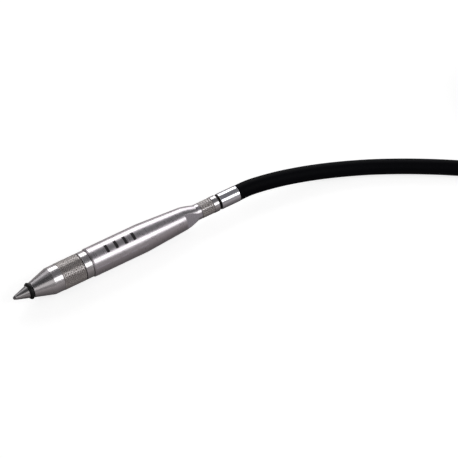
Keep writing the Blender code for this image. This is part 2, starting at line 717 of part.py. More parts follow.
chamber_end = barrel_shoulder_bore_station + AIR_CHAMBER_LENGTH
barrel_stem_seat = stem_station - SEAT_GAP
barrel = turned("barrel", [
    (barrel_neck_radius - BARREL_NECK_EDGE, barrel_end_station),
    (barrel_neck_radius, barrel_end_station - BARREL_NECK_EDGE),
    *ogive_points(),
    (BARREL_RADIUS, taper_station),
    (BARREL_RADIUS, barrel_station + BARREL_MOUTH_LENGTH),
    (barrel_mouth_radius, barrel_station),
    (barrel_bore_radius, barrel_station),
    (barrel_bore_radius, barrel_shoulder_bore_station),
    (AIR_CHAMBER_RADIUS, barrel_shoulder_bore_station),
    (AIR_CHAMBER_RADIUS, chamber_end),
    (AIR_PASSAGE_RADIUS, chamber_end + AIR_CHAMBER_CONE_LENGTH),
    (AIR_PASSAGE_RADIUS, barrel_stem_seat),
    (stem_bore_radius, barrel_stem_seat),
    (stem_bore_radius, barrel_end_station),
], barrel_steel, pen, BARREL_STEPS)
# Local -X is up and local -Y is the side that faces the viewer
flat_turn = -full_turn / 4 - WRENCH_FLAT_TILT
flat_station = ogive_station - WRENCH_FLAT_LEAD
flat_length = barrel_end_station + OVERRUN - flat_station
for number, turn in enumerate((flat_turn, flat_turn + full_turn / 2)):
    bpy.ops.mesh.primitive_cube_add(size=1)
    block = bpy.context.active_object
    block.scale = (BARREL_RADIUS, 2 * BARREL_RADIUS, flat_length)
    block.rotation_euler = (0, 0, turn)
    reach = wrench_flat_distance + BARREL_RADIUS / 2
    block.location = (reach * math.cos(turn), reach * math.sin(turn),
                      flat_station + flat_length / 2)
    place(block, f"wrench_flat_cutter_{number}", None, pen, pen_cutters)
    cut(barrel, block)

# Throttle stem: two bores parted by a wall, with a port on each side of it
stem_wall_station = ring_station + RING_LENGTH * STEM_WALL_SHARE
stem_rear_bore_station = stem_wall_station + STEM_WALL_LENGTH
stem_joint_seal_station = barrel_end_station - STEM_JOINT_SEAL_SETBACK
front_seal_station = ring_station + STEM_SEAL_FRONT_SETBACK
rear_seal_station = ring_end_station - STEM_SEAL_REAR_SETBACK
stem_seal_root = STEM_RADIUS - STEM_SEAL_CORD
stem = turned("throttle_stem", [
    (0, stem_rear_bore_station),
    (STEM_REAR_BORE_RADIUS, stem_rear_bore_station),
    (STEM_REAR_BORE_RADIUS, stem_end_station),
    (stem_end_radius, stem_end_station),
    (stem_end_radius, ring_end_station),
    (STEM_RADIUS, ring_end_station),
    *groove(rear_seal_station, STEM_RADIUS, STEM_SEAL_CORD, stem_seal_root),
    *groove(front_seal_station, STEM_RADIUS, STEM_SEAL_CORD, stem_seal_root),
    *groove(stem_joint_seal_station, STEM_RADIUS, STEM_SEAL_CORD, stem_seal_root),
    (STEM_RADIUS, stem_station),
    (AIR_PASSAGE_RADIUS, stem_station),
    (AIR_PASSAGE_RADIUS, stem_wall_station),
    (0, stem_wall_station),
], inner_steel, pen, INNER_STEPS)
up_turn = full_turn / 2
port_stations = (stem_wall_station - STEM_PORT_OFFSET, stem_rear_bore_station + STEM_PORT_OFFSET)
for number, station in enumerate(port_stations):
    cut(stem, cross_drill(f"stem_port_{number}", pen, STEM_PORT_RADIUS, station,
                          0, STEM_RADIUS + OVERRUN, up_turn))
pin_station = ring_station + PIN_SETBACK
cut(stem, cross_drill("stop_pin_hole", pen, PIN_RADIUS + RUNNING_GAP, pin_station,
                      pin_root_radius - THREAD_GAP, STEM_RADIUS + OVERRUN, 0))
for name, station, bore_radius in (
        ("stem_joint_seal", stem_joint_seal_station, stem_bore_radius),
        ("throttle_seal_front", front_seal_station, ring_bore_radius),
        ("throttle_seal_rear", rear_seal_station, ring_bore_radius)):
    seal(name, station, bore_radius - RUNNING_GAP / 2, STEM_SEAL_CORD - RUNNING_GAP,
         black_rubber, pen)

# Stop pin pressed into the underside of the stem
pin_length = pin_top_radius - pin_root_radius
bpy.ops.mesh.primitive_cylinder_add(vertices=SMALL_STEPS, radius=PIN_RADIUS, depth=pin_length)
stop_pin = bpy.context.active_object
stop_pin.rotation_euler = (0, full_turn / 4, 0)
stop_pin.location = ((pin_top_radius + pin_root_radius) / 2, 0, pin_station)
place(stop_pin, "throttle_stop_pin", inner_steel, pen)

# Throttle ring: its pocket joins the stem's ports when open, its slot meets the stop pin
ring = turned("throttle_ring", [
    (ring_collar_radius - RING_CHAMFER, ring_end_station),
    (ring_collar_radius, ring_end_station - RING_CHAMFER),
    (ring_collar_radius, ring_station + RING_KNURL_LENGTH + RING_EDGE),
    (ring_knurl_radius, ring_station + RING_KNURL_LENGTH),
    (ring_knurl_radius, ring_station + RING_EDGE),
    (ring_knurl_radius - RING_EDGE, ring_station),
    (ring_bore_radius, ring_station),
    (ring_bore_radius, ring_end_station),
], cap_steel, pen, BODY_STEPS)
pocket_front = port_stations[0] - RING_POCKET_SIDE
pocket_rear = port_stations[1] + RING_POCKET_SIDE
cut(ring, sector("ring_pocket_cutter", pen, stem_end_radius, ring_pocket_radius,
                 pocket_front, pocket_rear,
                 up_turn - RING_TURN - RING_POCKET_MARGIN, up_turn - RING_POCKET_MARGIN))
pin_half_turn = math.asin(PIN_RADIUS / ring_bore_radius)
slot_rear = pin_station + PIN_RADIUS + SEAT_GAP
cut(ring, sector("stop_slot_cutter", pen, stem_end_radius, slot_radius,
                 ring_station - OVERRUN, slot_rear,
                 -RING_TURN - pin_half_turn - SLOT_MARGIN, pin_half_turn + SLOT_MARGIN))

# Black ring behind the throttle ring
seal("throttle_dust_ring", dust_ring_station, dust_ring_outer_radius, DUST_RING_CORD,
     black_rubber, pen, BODY_STEPS)

# Sintered filter disc in the stem's rear bore
nipple_front = ferrule_station - NIPPLE_THREAD_LENGTH
filter_station = nipple_front - SEAT_GAP - FILTER_LENGTH
turned("filter_disc", [
    (0, filter_station + FILTER_LENGTH),
    (STEM_REAR_BORE_RADIUS - THREAD_GAP, filter_station + FILTER_LENGTH),
    (STEM_REAR_BORE_RADIUS - THREAD_GAP, filter_station),
    (0, filter_station),
], bronze, pen, SMALL_STEPS)


def barbs(last_station, direction):
    """Outline points of hose barbs, from the free end towards the flange."""
    points = []
    for number in range(BARB_COUNT):
        end = last_station - direction * BARB_PITCH * number
        ramp = end - direction * BARB_PITCH * BARB_RAMP_SHARE
        points += [(BARB_ROOT_RADIUS, end), (barb_top_radius, ramp), (BARB_ROOT_RADIUS, ramp)]
    return points


# Barbed nipple that carries the hose
flange_rear = ferrule_station + NIPPLE_FLANGE_LENGTH
nipple_end = ferrule_end_station - SEAT_GAP - RUNNING_GAP
turned("hose_nipple", [
    *barbs(nipple_end, 1),
    (BARB_ROOT_RADIUS, flange_rear),
    (nipple_flange_radius, flange_rear),
    (nipple_flange_radius, ferrule_station),
    (STEM_REAR_BORE_RADIUS - THREAD_GAP, ferrule_station),
    (STEM_REAR_BORE_RADIUS - THREAD_GAP, nipple_front),
    (NIPPLE_BORE_RADIUS, nipple_front),
    (NIPPLE_BORE_RADIUS, nipple_end),
], brass, pen, SMALL_STEPS)


def crimped_end(ferrule_name, hose_name, start, end, parent, open_front, open_rear):
    """A ferrule from start to end, and the hose wall that it squeezes on the barbs."""
    turned(ferrule_name, [
        (ferrule_radius - FERRULE_EDGE, end),
        (ferrule_radius, end - FERRULE_EDGE),
        (ferrule_radius, start + FERRULE_EDGE),
        (ferrule_radius - FERRULE_EDGE, start),
        (ferrule_bore_radius, start),
        (ferrule_bore_radius, end),
    ], chrome, parent, BODY_STEPS)
    turned(hose_name, [
        (ferrule_bore_radius - THREAD_GAP, end - open_rear),
        (ferrule_bore_radius - THREAD_GAP, start + open_front),
        (hose_end_bore_radius, start + open_front),
        (hose_end_bore_radius, end - open_rear),
    ], hose_rubber, parent, INNER_STEPS)


crimped_end("hose_ferrule", "hose_end", ferrule_station, ferrule_end_station, pen,
            NIPPLE_FLANGE_LENGTH + SEAT_GAP, SEAT_GAP)

# Hank: it starts on the surface, and each turn ends with a climb on to the one below it
last_layer = math.floor(COIL_TURNS)
last_layer_height = HOSE_RADIUS + coil_pitch * last_layer
fitting_height = last_layer_height - coil_pitch + HOSE_RADIUS + SEAT_GAP + hex_apothem
tie_lift = TIE_THICKNESS + TIE_SLACK + RUNNING_GAP
tie_share = straight_share / 2


def eased(share):
    share = min(max(share, 0), 1)
    return share * share * (3 - 2 * share)


def coil_height(turn):
    """Height of the hank's middle line, with a climb each turn and a lift at the tie."""
    layer = math.floor(turn)
    climb = eased((turn - layer - 1 + COIL_CLIMB_SHARE) / COIL_CLIMB_SHARE)
    height = HOSE_RADIUS + coil_pitch * (layer + climb)
    rise = eased((turn - COIL_TURNS + COIL_RISE_TURNS) / COIL_RISE_TURNS)
    height += (fitting_height - last_layer_height) * rise
    away = abs((turn - tie_share + 0.5) % 1 - 0.5) / TIE_LIFT_TURNS
    if away < 1:
        height += tie_lift * math.cos(away * full_turn / 4) ** 2
    return height


hose_start = Vector((pen_length / 2 + SEAT_GAP, 0, BARREL_RADIUS))
ferrule_face = Vector((pen_length / 2, 0, 0))
near_start = ferrule_face + Vector((COIL_START_X, COIL_START_Y, 0))
across_bend = Vector((0, COIL_BEND_RADIUS, 0))


def coil_point(turn):
    """Point of the middle line: near straight, far bend, back along, and the near bend."""
    half = math.floor(turn * 2)
    along = (turn - half / 2) * coil_turn_length
    bend = max(along - COIL_STRAIGHT, 0) / COIL_BEND_RADIUS
    place = Vector((min(along, COIL_STRAIGHT), 0, 0)) - across_bend + COIL_BEND_RADIUS * Vector(
        (math.sin(bend), 1 - math.cos(bend), 0))
    if half % 2:
        place = Vector((COIL_STRAIGHT, 0, 0)) - place
    return near_start + across_bend + place + Vector((0, 0, coil_height(turn)))


def coil_direction(turn):
    step = coil_point(turn + COIL_AIM_SHARE / COIL_POINTS_PER_TURN) - coil_point(turn)
    step.z = 0
    return step.normalized()


coil_count = math.floor(COIL_TURNS * COIL_POINTS_PER_TURN)
hose_diameter = 2 * HOSE_RADIUS
coil_turns = [i / COIL_POINTS_PER_TURN for i in range(coil_count + 1)]
coil_entry = coil_direction(0)
coil_exit = coil_direction(COIL_TURNS)
coil_start = coil_point(0) - coil_entry * hose_diameter
coil_end = coil_point(COIL_TURNS) + coil_exit * hose_diameter
coil_points = [coil_start, *[coil_point(turn) for turn in coil_turns], coil_end]
tube("hose_coil", coil_points, HOSE_RADIUS, COIL_BEVEL_RESOLUTION, hose_rubber)


# Hose from the ferrule to the hank, on one smooth curve through the route's points
def smooth_curve(knots, spacing):
    """Points along a centripetal Catmull-Rom curve; the first and last knots only aim it."""
    points = []
    for before, start, end, after in zip(knots, knots[1:], knots[2:], knots[3:]):
        gaps = [math.sqrt((b - a).length) for a, b in
                ((before, start), (start, end), (end, after))]
        times = [0, gaps[0], gaps[0] + gaps[1], sum(gaps)]
        steps = max(1, round((end - start).length / spacing))
        for i in range(steps):
            t = times[1] + gaps[1] * i / steps
            a1 = before.lerp(start, t / gaps[0])
            a2 = start.lerp(end, (t - times[1]) / gaps[1])
            a3 = end.lerp(after, (t - times[2]) / gaps[2])
            b1 = a1.lerp(a2, t / times[2])
            b2 = a2.lerp(a3, (t - times[1]) / (times[3] - times[1]))
            points.append(b1.lerp(b2, (t - times[1]) / gaps[1]))
    points.append(knots[-2])
    return points


hose_finish = coil_start - coil_entry * SEAT_GAP
run_out = Vector((HOSE_RUN_OUT, 0, 0))
hose_knots = [
    hose_start - run_out,
    hose_start,
    hose_start + run_out,
    *[ferrule_face + Vector((along, across, HOSE_RADIUS + lift))
      for along, across, lift in HOSE_ROUTE],
    hose_finish - coil_entry * HOSE_RUN_OUT,
    hose_finish,
    coil_point(0),
]
hose_points = smooth_curve(hose_knots, HOSE_POINT_PITCH)
tube("hose", hose_points, HOSE_RADIUS, HOSE_BEVEL_RESOLUTION, hose_rubber)

# Strap round the hank's near side, its outline drawn round the tubes that it holds
tie_turns = [tie_share + number for number in range(last_layer + 1)]


def strap_outline(reach):
    """Outline round the held tubes, at a distance from their middle lines."""
    rim = []
    for turn in tie_turns:
        for i in range(TIE_CORNER_STEPS):
            angle = full_turn * i / TIE_CORNER_STEPS
            rim.append(Vector((-coil_height(turn) + reach * math.cos(angle),
                               reach * math.sin(angle))))
    return [tuple(rim[i]) for i in convex_hull_2d(rim)]


strap_inside = HOSE_RADIUS + TIE_SLACK
coil_tie = extruded("coil_tie", [strap_outline(strap_inside + TIE_THICKNESS),
                                 strap_outline(strap_inside)], TIE_WIDTH / 2, pen_parts)
place(coil_tie, "coil_tie", strap_fabric, None)
tie_place = coil_point(tie_share)
coil_tie.location = (tie_place.x, tie_place.y, 0)
coil_tie.rotation_euler = (0, full_turn / 4, 0)

# Far end of the hose: crimped ferrule and the inlet fitting, lying on the hank
far_place = coil_end + coil_exit * SEAT_GAP
far_heading = math.atan2(coil_exit.y, coil_exit.x)
far_end = axis_frame("hose_end_axis", far_place.x, far_place.y, far_place.z, far_heading)
hex_station = FERRULE_LENGTH + SEAT_GAP
crimped_end("inlet_ferrule", "inlet_hose_end", 0, FERRULE_LENGTH, far_end, SEAT_GAP, SEAT_GAP)
barb_start = SEAT_GAP + RUNNING_GAP
thread_station = hex_station + FITTING_HEX_LENGTH
fitting_end = thread_station + FITTING_THREAD_LENGTH
fitting = turned("inlet_fitting", [
    (0, fitting_end),
    (FITTING_THREAD_RADIUS - FITTING_THREAD_CHAMFER, fitting_end),
    (FITTING_THREAD_RADIUS, fitting_end - FITTING_THREAD_CHAMFER),
    (FITTING_THREAD_RADIUS, hex_station + SEAT_GAP),
    (BARB_ROOT_RADIUS, hex_station + SEAT_GAP),
    *reversed(barbs(barb_start, -1)),
    (0, barb_start),
], brass, far_end, SMALL_STEPS)
bpy.ops.mesh.primitive_cylinder_add(
    vertices=FITTING_HEX_SIDES, radius=hex_corner_radius, depth=FITTING_HEX_LENGTH)
hexagon = bpy.context.active_object
hexagon.location = (0, 0, hex_station + FITTING_HEX_LENGTH / 2)
place(hexagon, "inlet_hexagon", None, far_end, pen_cutters)
hex_trim_radius = hex_corner_radius - FITTING_HEX_CHAMFER
hex_trim = turned("inlet_hexagon_trim", [
    (0, thread_station + OVERRUN),
    (hex_trim_radius - OVERRUN, thread_station + OVERRUN),
    (hex_trim_radius + OVERRUN, thread_station - OVERRUN),
    (hex_trim_radius + OVERRUN, hex_station + OVERRUN),
    (hex_trim_radius - OVERRUN, hex_station - OVERRUN),
    (0, hex_station - OVERRUN),
], None, far_end, INNER_STEPS, pen_cutters)
cut(hexagon, hex_trim, "INTERSECT")
cut(fitting, hexagon, "UNION")
inlet_bore = turned("inlet_bore_cutter", [
    (0, fitting_end + OVERRUN),
    (FITTING_MOUTH_RADIUS, fitting_end + OVERRUN),
    (FITTING_MOUTH_RADIUS, fitting_end - FITTING_MOUTH_LENGTH),
    (FITTING_BORE_RADIUS, fitting_end - FITTING_MOUTH_LENGTH),
    (FITTING_BORE_RADIUS, -OVERRUN),
    (0, -OVERRUN),
], None, far_end, SMALL_STEPS, pen_cutters)
cut(fitting, inlet_bore)


# The wound tube's least gap to itself, measured on its points, and the hose's length
def path_length(points):
    return sum((b - a).length for a, b in zip(points, points[1:]))


def least_gap(points):
    near = round(COIL_POINTS_PER_TURN / 4)
    gaps = [(points[j] - points[i]).length for i in range(len(points))
            for j in range(i + near, len(points))]
    return min(gaps) - hose_diameter


gap = least_gap(coil_points)
print(f"hank: least gap to itself {gap / mm:.2f} mm, wanted over {COIL_LEAST_GAP / mm:.2f} mm")
print(f"hose: {path_length(hose_points) + path_length(coil_points):.3f} m from end to end")
print(f"pen: {pen_length / mm:.2f} mm from tip to ferrule")
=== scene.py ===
import math

import bpy
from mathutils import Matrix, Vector


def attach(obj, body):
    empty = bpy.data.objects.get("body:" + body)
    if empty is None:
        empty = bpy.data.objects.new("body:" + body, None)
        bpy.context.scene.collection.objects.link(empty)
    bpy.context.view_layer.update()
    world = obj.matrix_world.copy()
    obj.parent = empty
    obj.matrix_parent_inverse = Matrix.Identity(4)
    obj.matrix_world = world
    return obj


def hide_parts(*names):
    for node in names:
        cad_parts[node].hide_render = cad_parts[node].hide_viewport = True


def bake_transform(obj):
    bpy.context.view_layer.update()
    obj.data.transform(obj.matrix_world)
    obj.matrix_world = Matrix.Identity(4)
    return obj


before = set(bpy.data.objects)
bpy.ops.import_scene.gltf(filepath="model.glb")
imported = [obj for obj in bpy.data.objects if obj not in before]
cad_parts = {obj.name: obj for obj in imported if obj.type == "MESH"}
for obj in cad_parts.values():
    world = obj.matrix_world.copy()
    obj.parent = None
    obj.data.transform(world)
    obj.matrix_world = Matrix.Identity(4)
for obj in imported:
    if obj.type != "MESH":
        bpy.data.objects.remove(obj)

# Sizes are in metres and on the pen's own frame: its axis runs along +X from the stylus tip.
# Stations are the distances behind the tip, and they and the outlines' radii are in millimetres.
# A noise's scale is written as its patches per millimetre.
MM = 0.001
FULL_TURN = 2 * math.pi
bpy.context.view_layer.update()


# Camera: a long lens, from above and from the left of the stylus tip, as in the photograph.
# It is far away, so the barrel's two edges stay almost parallel.
CAMERA_AZIMUTH = math.radians(-32.97)
CAMERA_ELEVATION = math.radians(47.2)
CAMERA_DISTANCE = 1.8
CAMERA_TARGET = Vector((58.25, -22.165, 9.0)) * MM
CAMERA_LENS = 236.23
CAMERA_SENSOR = 36.0

camera_back = Vector((math.sin(CAMERA_AZIMUTH) * math.cos(CAMERA_ELEVATION),
                      -math.cos(CAMERA_AZIMUTH) * math.cos(CAMERA_ELEVATION),
                      math.sin(CAMERA_ELEVATION)))
bpy.ops.object.camera_add(location=CAMERA_TARGET + camera_back * CAMERA_DISTANCE,
                          rotation=camera_back.to_track_quat("Z", "Y").to_euler())
camera = bpy.context.active_object
camera.data.lens = CAMERA_LENS
camera.data.sensor_width = CAMERA_SENSOR
bpy.context.scene.camera = camera
bpy.context.scene.view_settings.view_transform = "Standard"


def linear_colour(code):
    """Shader colour from an sRGB hex code."""
    channels = [int(code[i:i + 2], 16) / 255 for i in (1, 3, 5)]
    return (*(c / 12.92 if c <= 0.04045 else ((c + 0.055) / 1.055) ** 2.4
              for c in channels), 1)


def add_node(material, kind, settings, links=None):
    """Adds a node, with its settings by property or socket, and what feeds its sockets."""
    node = material.node_tree.nodes.new(kind)
    for key, value in settings.items():
        if isinstance(key, str) and hasattr(node, key):
            setattr(node, key, value)
        else:
            node.inputs[key].default_value = value
    for socket, source in (links or {}).items():
        material.node_tree.links.new(source, node.inputs[socket])
    return node


def new_finish(name):
    """An empty material, with its output node and its Object coordinates."""
    material = bpy.data.materials.new(name)
    material.use_nodes = True
    material.node_tree.nodes.clear()
    output = add_node(material, "ShaderNodeOutputMaterial", {})
    coordinates = add_node(material, "ShaderNodeTexCoord", {})
    return material, output, coordinates.outputs["Object"]


def close_finish(material, output, shader):
    """Feeds the shader to the material's output, which finishes the material."""
    material.node_tree.links.new(shader, output.inputs["Surface"])
    return material


# Floor: seamless white paper. The camera and the metal see it white, and it keeps the
# pen's soft shadow, because only a part of its white comes from its own light.
FLOOR_SIZE = 12.0
FLOOR_DROP = 0.02 * MM
FLOOR_GLOW = 0.76


def seen_directly(owner):
    """Is 1 for rays of the camera, of reflections and through clear things, or else 0."""
    path = add_node(owner, "ShaderNodeLightPath", {})
    seen = path.outputs["Is Camera Ray"]
    for ray in ("Is Glossy Ray", "Is Transmission Ray"):
        larger = add_node(owner, "ShaderNodeMath", {"operation": "MAXIMUM"},
                          {0: seen, 1: path.outputs[ray]})
        seen = larger.outputs[0]
    return seen


paper, paper_output, paper_place = new_finish("white_paper_floor")
paper_grain = add_node(paper, "ShaderNodeTexNoise", {"Scale": 0.9 / MM, "Detail": 3.0},
                       {"Vector": paper_place})
paper_bump = add_node(paper, "ShaderNodeBump", {"Strength": 0.05, "Distance": 0.1 * MM},
                      {"Height": paper_grain.outputs["Fac"]})
paper_diffuse = add_node(paper, "ShaderNodeBsdfDiffuse", {"Color": linear_colour("#b4b4b4")},
                         {"Normal": paper_bump.outputs["Normal"]})
glow_strength = add_node(paper, "ShaderNodeMath", {"operation": "MULTIPLY", 1: FLOOR_GLOW},
                         {0: seen_directly(paper)})
paper_glow = add_node(paper, "ShaderNodeEmission", {"Color": (1, 1, 1, 1)},
                      {"Strength": glow_strength.outputs[0]})
paper_sum = add_node(paper, "ShaderNodeAddShader", {}, {
    0: paper_diffuse.outputs[0], 1: paper_glow.outputs[0]})
close_finish(paper, paper_output, paper_sum.outputs[0])

bpy.ops.object.select_all(action="DESELECT")
bpy.ops.mesh.primitive_plane_add(size=FLOOR_SIZE, location=(0, 0, -FLOOR_DROP))
floor = bpy.context.active_object
floor.name = "paper_floor"
floor.data.materials.append(paper)

# Studio: white walls all round, which the camera and the metal see at full white, and which
# give the object a weak even light
WALL_LIGHT = 0.28

world = bpy.data.worlds.new("studio_walls")
world.use_nodes = True
bpy.context.scene.world = world
wall = world.node_tree.nodes["Background"]
wall_strength = add_node(world, "ShaderNodeMapRange", {"To Min": WALL_LIGHT, "To Max": 1.0},
                         {"Value": seen_directly(world)})
world.node_tree.links.new(wall_strength.outputs[0], wall.inputs["Strength"])
wall.inputs["Color"].default_value = (1, 1, 1, 1)

# Two long soft boxes along the pen, one in front and one behind. Each makes one of the two
# bright bands that run along the barrel. The rest of the studio is glowing cards, which only
# reflections see and which light nothing, so what they show in the metal is painted
# reflection. Three run beside the boxes and make the darker bands. The dim ones stand beyond
# the stylus tip, and give the stylus and the nose cone their painted bands. The far ceiling
# card hangs lower than the boxes, and hides their far half from the steep tail, a painted
# shade in the tail's reflection.
PEN_AXIS = Vector((0, 0, 9.0 * MM))
BOX_REACH = 1.0
BOX_ENDS = (0.03, 2.6)
BOX_GLOW = 2.35
CARD_REACH = 1.15
DIM_ENDS = (-1.8, 0.03)
FAR_ENDS = (0.75, 2.6)
FAR_REACH = 0.95


def over_pen(angles, ends, reach):
    """Middle, tilt and size of a strip along the pen, between two angles from upright."""
    middle_angle = math.radians(sum(angles) / 2)
    half_angle = math.radians(abs(angles[1] - angles[0]) / 2)
    across = Vector((0, -math.sin(middle_angle), math.cos(middle_angle)))
    middle = PEN_AXIS + across * reach + Vector((sum(ends) / 2, 0, 0))
    return middle, (middle_angle, 0, 0), (ends[1] - ends[0], 2 * reach * math.tan(half_angle))


def soft_box(name, angles):
    """An evenly lit lamp along the pen, between two angles from upright."""
    middle, tilt, size = over_pen(angles, BOX_ENDS, BOX_REACH)
    bpy.ops.object.light_add(type="AREA", location=middle, rotation=tilt)
    lamp = bpy.context.active_object
    lamp.name = name
    lamp.data.shape = "RECTANGLE"
    lamp.data.size, lamp.data.size_y = size
    lamp.data.energy = math.pi * size[0] * size[1] * BOX_GLOW


soft_box("front_soft_box", (33, 62))
soft_box("back_soft_box", (-37.5, -74))


def card(name, middle, tilt, size):
    """A glowing card that only reflections see, its size applied; it lights nothing, so it is a
    painted reflection.
    """
    bpy.ops.mesh.primitive_plane_add(size=1, location=middle, rotation=tilt)
    piece = bpy.context.active_object
    piece.name = name
    piece.scale = (*size, 1)
    bpy.ops.object.transform_apply(location=True, rotation=True, scale=True)
    for ray in ("camera", "diffuse", "transmission", "volume_scatter", "shadow"):
        setattr(piece, "visible_" + ray, False)
    return piece


# Each card is a painted reflection: an even glow of the listed tint and strength
for name, angles, ends, glow, tint, reach in (
        ("ceiling_card", (-40, 37), BOX_ENDS, 0.21, "#fbfbff", CARD_REACH),
        ("front_card", (60, 92), BOX_ENDS, 0.335, "#fffafb", CARD_REACH),
        ("back_card", (-70, -92), BOX_ENDS, 0.42, "#fffdff", CARD_REACH),
        ("dim_ceiling_card", (-14, 34), DIM_ENDS, 0.08, "#fdfcff", CARD_REACH),
        ("dim_back_ceiling_card", (-36, -14), DIM_ENDS, 0.24, "#fdfcff", CARD_REACH),
        ("dim_back_card", (-64, -36), DIM_ENDS, 0.74, "#fffdff", CARD_REACH),
        ("dim_low_back_card", (-92, -64), DIM_ENDS, 0.13, "#fffdff", CARD_REACH),
        ("dim_front_box_card", (34, 66), DIM_ENDS, 0.82, "#fffcfb", CARD_REACH),
        ("dim_front_card", (66, 92), DIM_ENDS, 0.28, "#fffafb", CARD_REACH),
        ("far_ceiling_card", (-62, 64), FAR_ENDS, 0.08, "#fbfbff", FAR_REACH)):
    card_paint, card_output, _ = new_finish(name + "_paint")
    card_glow = add_node(card_paint, "ShaderNodeEmission",
                         {"Color": linear_colour(tint), "Strength": glow})
    close_finish(card_paint, card_output, card_glow.outputs[0])
    card(name, *over_pen(angles, ends, reach)).data.materials.append(card_paint)

# Glowing table card under the pen, which only reflections see: a painted reflection of the
# table, its glow turned down close to the pen as painted shade where the pen's own shadow lies
TABLE_ENDS = (-0.5, 1.3)
TABLE_WIDTH = 2.4
TABLE_PAINTED_SHADE_GLOW = 0.01
TABLE_LIGHT = 0.52
TABLE_SHADE_REACH = 26.0 * MM

table, table_output, table_place = new_finish("table_card_paint")
table_axes = add_node(table, "ShaderNodeSeparateXYZ", {}, {"Vector": table_place})
table_away = add_node(table, "ShaderNodeMath", {"operation": "ABSOLUTE"},
                      {0: table_axes.outputs["Y"]})
table_further = add_node(table, "ShaderNodeMath", {"operation": "ADD", 1: TABLE_SHADE_REACH},
                         {0: table_away.outputs[0]})
table_share = add_node(table, "ShaderNodeMath", {"operation": "DIVIDE"},
                       {0: table_away.outputs[0], 1: table_further.outputs[0]})
# Painted shade: the glow is lowest at the pen and rises away from it
table_strength = add_node(table, "ShaderNodeMath", {
    "operation": "MULTIPLY_ADD", 1: TABLE_LIGHT, 2: TABLE_PAINTED_SHADE_GLOW}, {0: table_share.outputs[0]})
table_glow = add_node(table, "ShaderNodeEmission", {"Color": linear_colour("#fff7f7")},
                      {"Strength": table_strength.outputs[0]})
close_finish(table, table_output, table_glow.outputs[0])
card("table_card", (sum(TABLE_ENDS) / 2, 0, 0), (0, 0, 0),
     (TABLE_ENDS[1] - TABLE_ENDS[0], TABLE_WIDTH)).data.materials.append(table)


# Hose: smooth black polyurethane, 9.8 mm thick and 1.5 m long. It leaves the pen's ferrule
# and comes down on the table. Its spare length is folded into a hank of long oval turns, one
# on another, in line with the pen and just past the camera's view.
FERRULE_FACE = Vector((78.225, 0, 0)) * MM
SEAT_GAP = 0.3 * MM
HOSE_RADIUS = 4.9 * MM
HOSE_ROUTE = [
    (25.0, -2.5, 3.5), (40.3, -6.0, 2.4), (55.0, -10.5, 1.3), (69.0, -16.0, 0.45),
    (82.4, -22.5, 0.04), (95.1, -30.0, 0.0), (107.4, -38.0, 0.0), (119.4, -46.5, 0.0),
    (131.0, -55.1, 0.0), (140.8, -60.8, 0.0), (151.1, -64.2, 0.0), (161.9, -65.3, 0.0),
    (171.0, -65.3, 0.0),
]
HOSE_RUN_OUT = 8.0 * MM
HOSE_POINT_PITCH = 3.0 * MM
HOSE_BEVEL_RESOLUTION = 8
HANK_START = FERRULE_FACE + Vector((194.8, -65.3, 0)) * MM
HANK_STRAIGHT = 84.0 * MM
HANK_BEND_RADIUS = 32.2 * MM
HANK_PITCH = 10.5 * MM
HANK_TURNS = 3.51
HANK_CLIMB_SHARE = 0.36
HANK_RISE_TURNS = 0.2
HANK_POINTS_PER_TURN = 96
HANK_AIM_TURNS = 0.1 / 32
TIE_LIFT_TURNS = 0.11
TIE_LIFT = 2.05 * MM
FITTING_RISE = 2.0 * MM
HANK_TURN_LENGTH = 2 * (HANK_STRAIGHT + math.pi * HANK_BEND_RADIUS)
TIE_SHARE = HANK_STRAIGHT / HANK_TURN_LENGTH / 2


def eased(share):
    share = min(max(share, 0), 1)
    return share * share * (3 - 2 * share)


def hank_height(turn):
    """Height of the hank's middle line, with a climb each turn and a lift at the tie."""
    layer = math.floor(turn)
    climb = eased((turn - layer - 1 + HANK_CLIMB_SHARE) / HANK_CLIMB_SHARE)
    height = HOSE_RADIUS + HANK_PITCH * (layer + climb)
    height += FITTING_RISE * eased((turn - HANK_TURNS + HANK_RISE_TURNS) / HANK_RISE_TURNS)
    away = abs((turn - TIE_SHARE + 0.5) % 1 - 0.5) / TIE_LIFT_TURNS
    if away < 1:
        height += TIE_LIFT * math.cos(away * FULL_TURN / 4) ** 2
    return height


def hank_point(turn):
    """Point of the middle line: near straight, far bend, back along, and the near bend."""
    half = math.floor(turn * 2)
    along = (turn - half / 2) * HANK_TURN_LENGTH
    bend = max(along - HANK_STRAIGHT, 0) / HANK_BEND_RADIUS
    middle = Vector((0, HANK_BEND_RADIUS, 0))
    place = Vector((min(along, HANK_STRAIGHT), 0, 0)) - middle + HANK_BEND_RADIUS * Vector(
        (math.sin(bend), 1 - math.cos(bend), 0))
    if half % 2:
        place = Vector((HANK_STRAIGHT, 0, 0)) - place
    return HANK_START + middle + place + Vector((0, 0, hank_height(turn)))


def hank_direction(turn):
    step = hank_point(turn + HANK_AIM_TURNS) - hank_point(turn)
    step.z = 0
    return step.normalized()


def smooth_curve(knots, spacing):
    """Points along a centripetal Catmull-Rom curve; the first and last knots only aim it."""
    points = []
    for before, start, end, after in zip(knots, knots[1:], knots[2:], knots[3:]):
        gaps = [math.sqrt((b - a).length) for a, b in
                ((before, start), (start, end), (end, after))]
        times = [0, gaps[0], gaps[0] + gaps[1], sum(gaps)]
        steps = max(1, round((end - start).length / spacing))
        for i in range(steps):
            t = times[1] + gaps[1] * i / steps
            a1 = before.lerp(start, t / gaps[0])
            a2 = start.lerp(end, (t - times[1]) / gaps[1])
            a3 = end.lerp(after, (t - times[2]) / gaps[2])
            b1 = a1.lerp(a2, t / times[2])
            b2 = a2.lerp(a3, (t - times[1]) / (times[3] - times[1]))
            points.append(b1.lerp(b2, (t - times[1]) / gaps[1]))
    points.append(knots[-2])
    return points


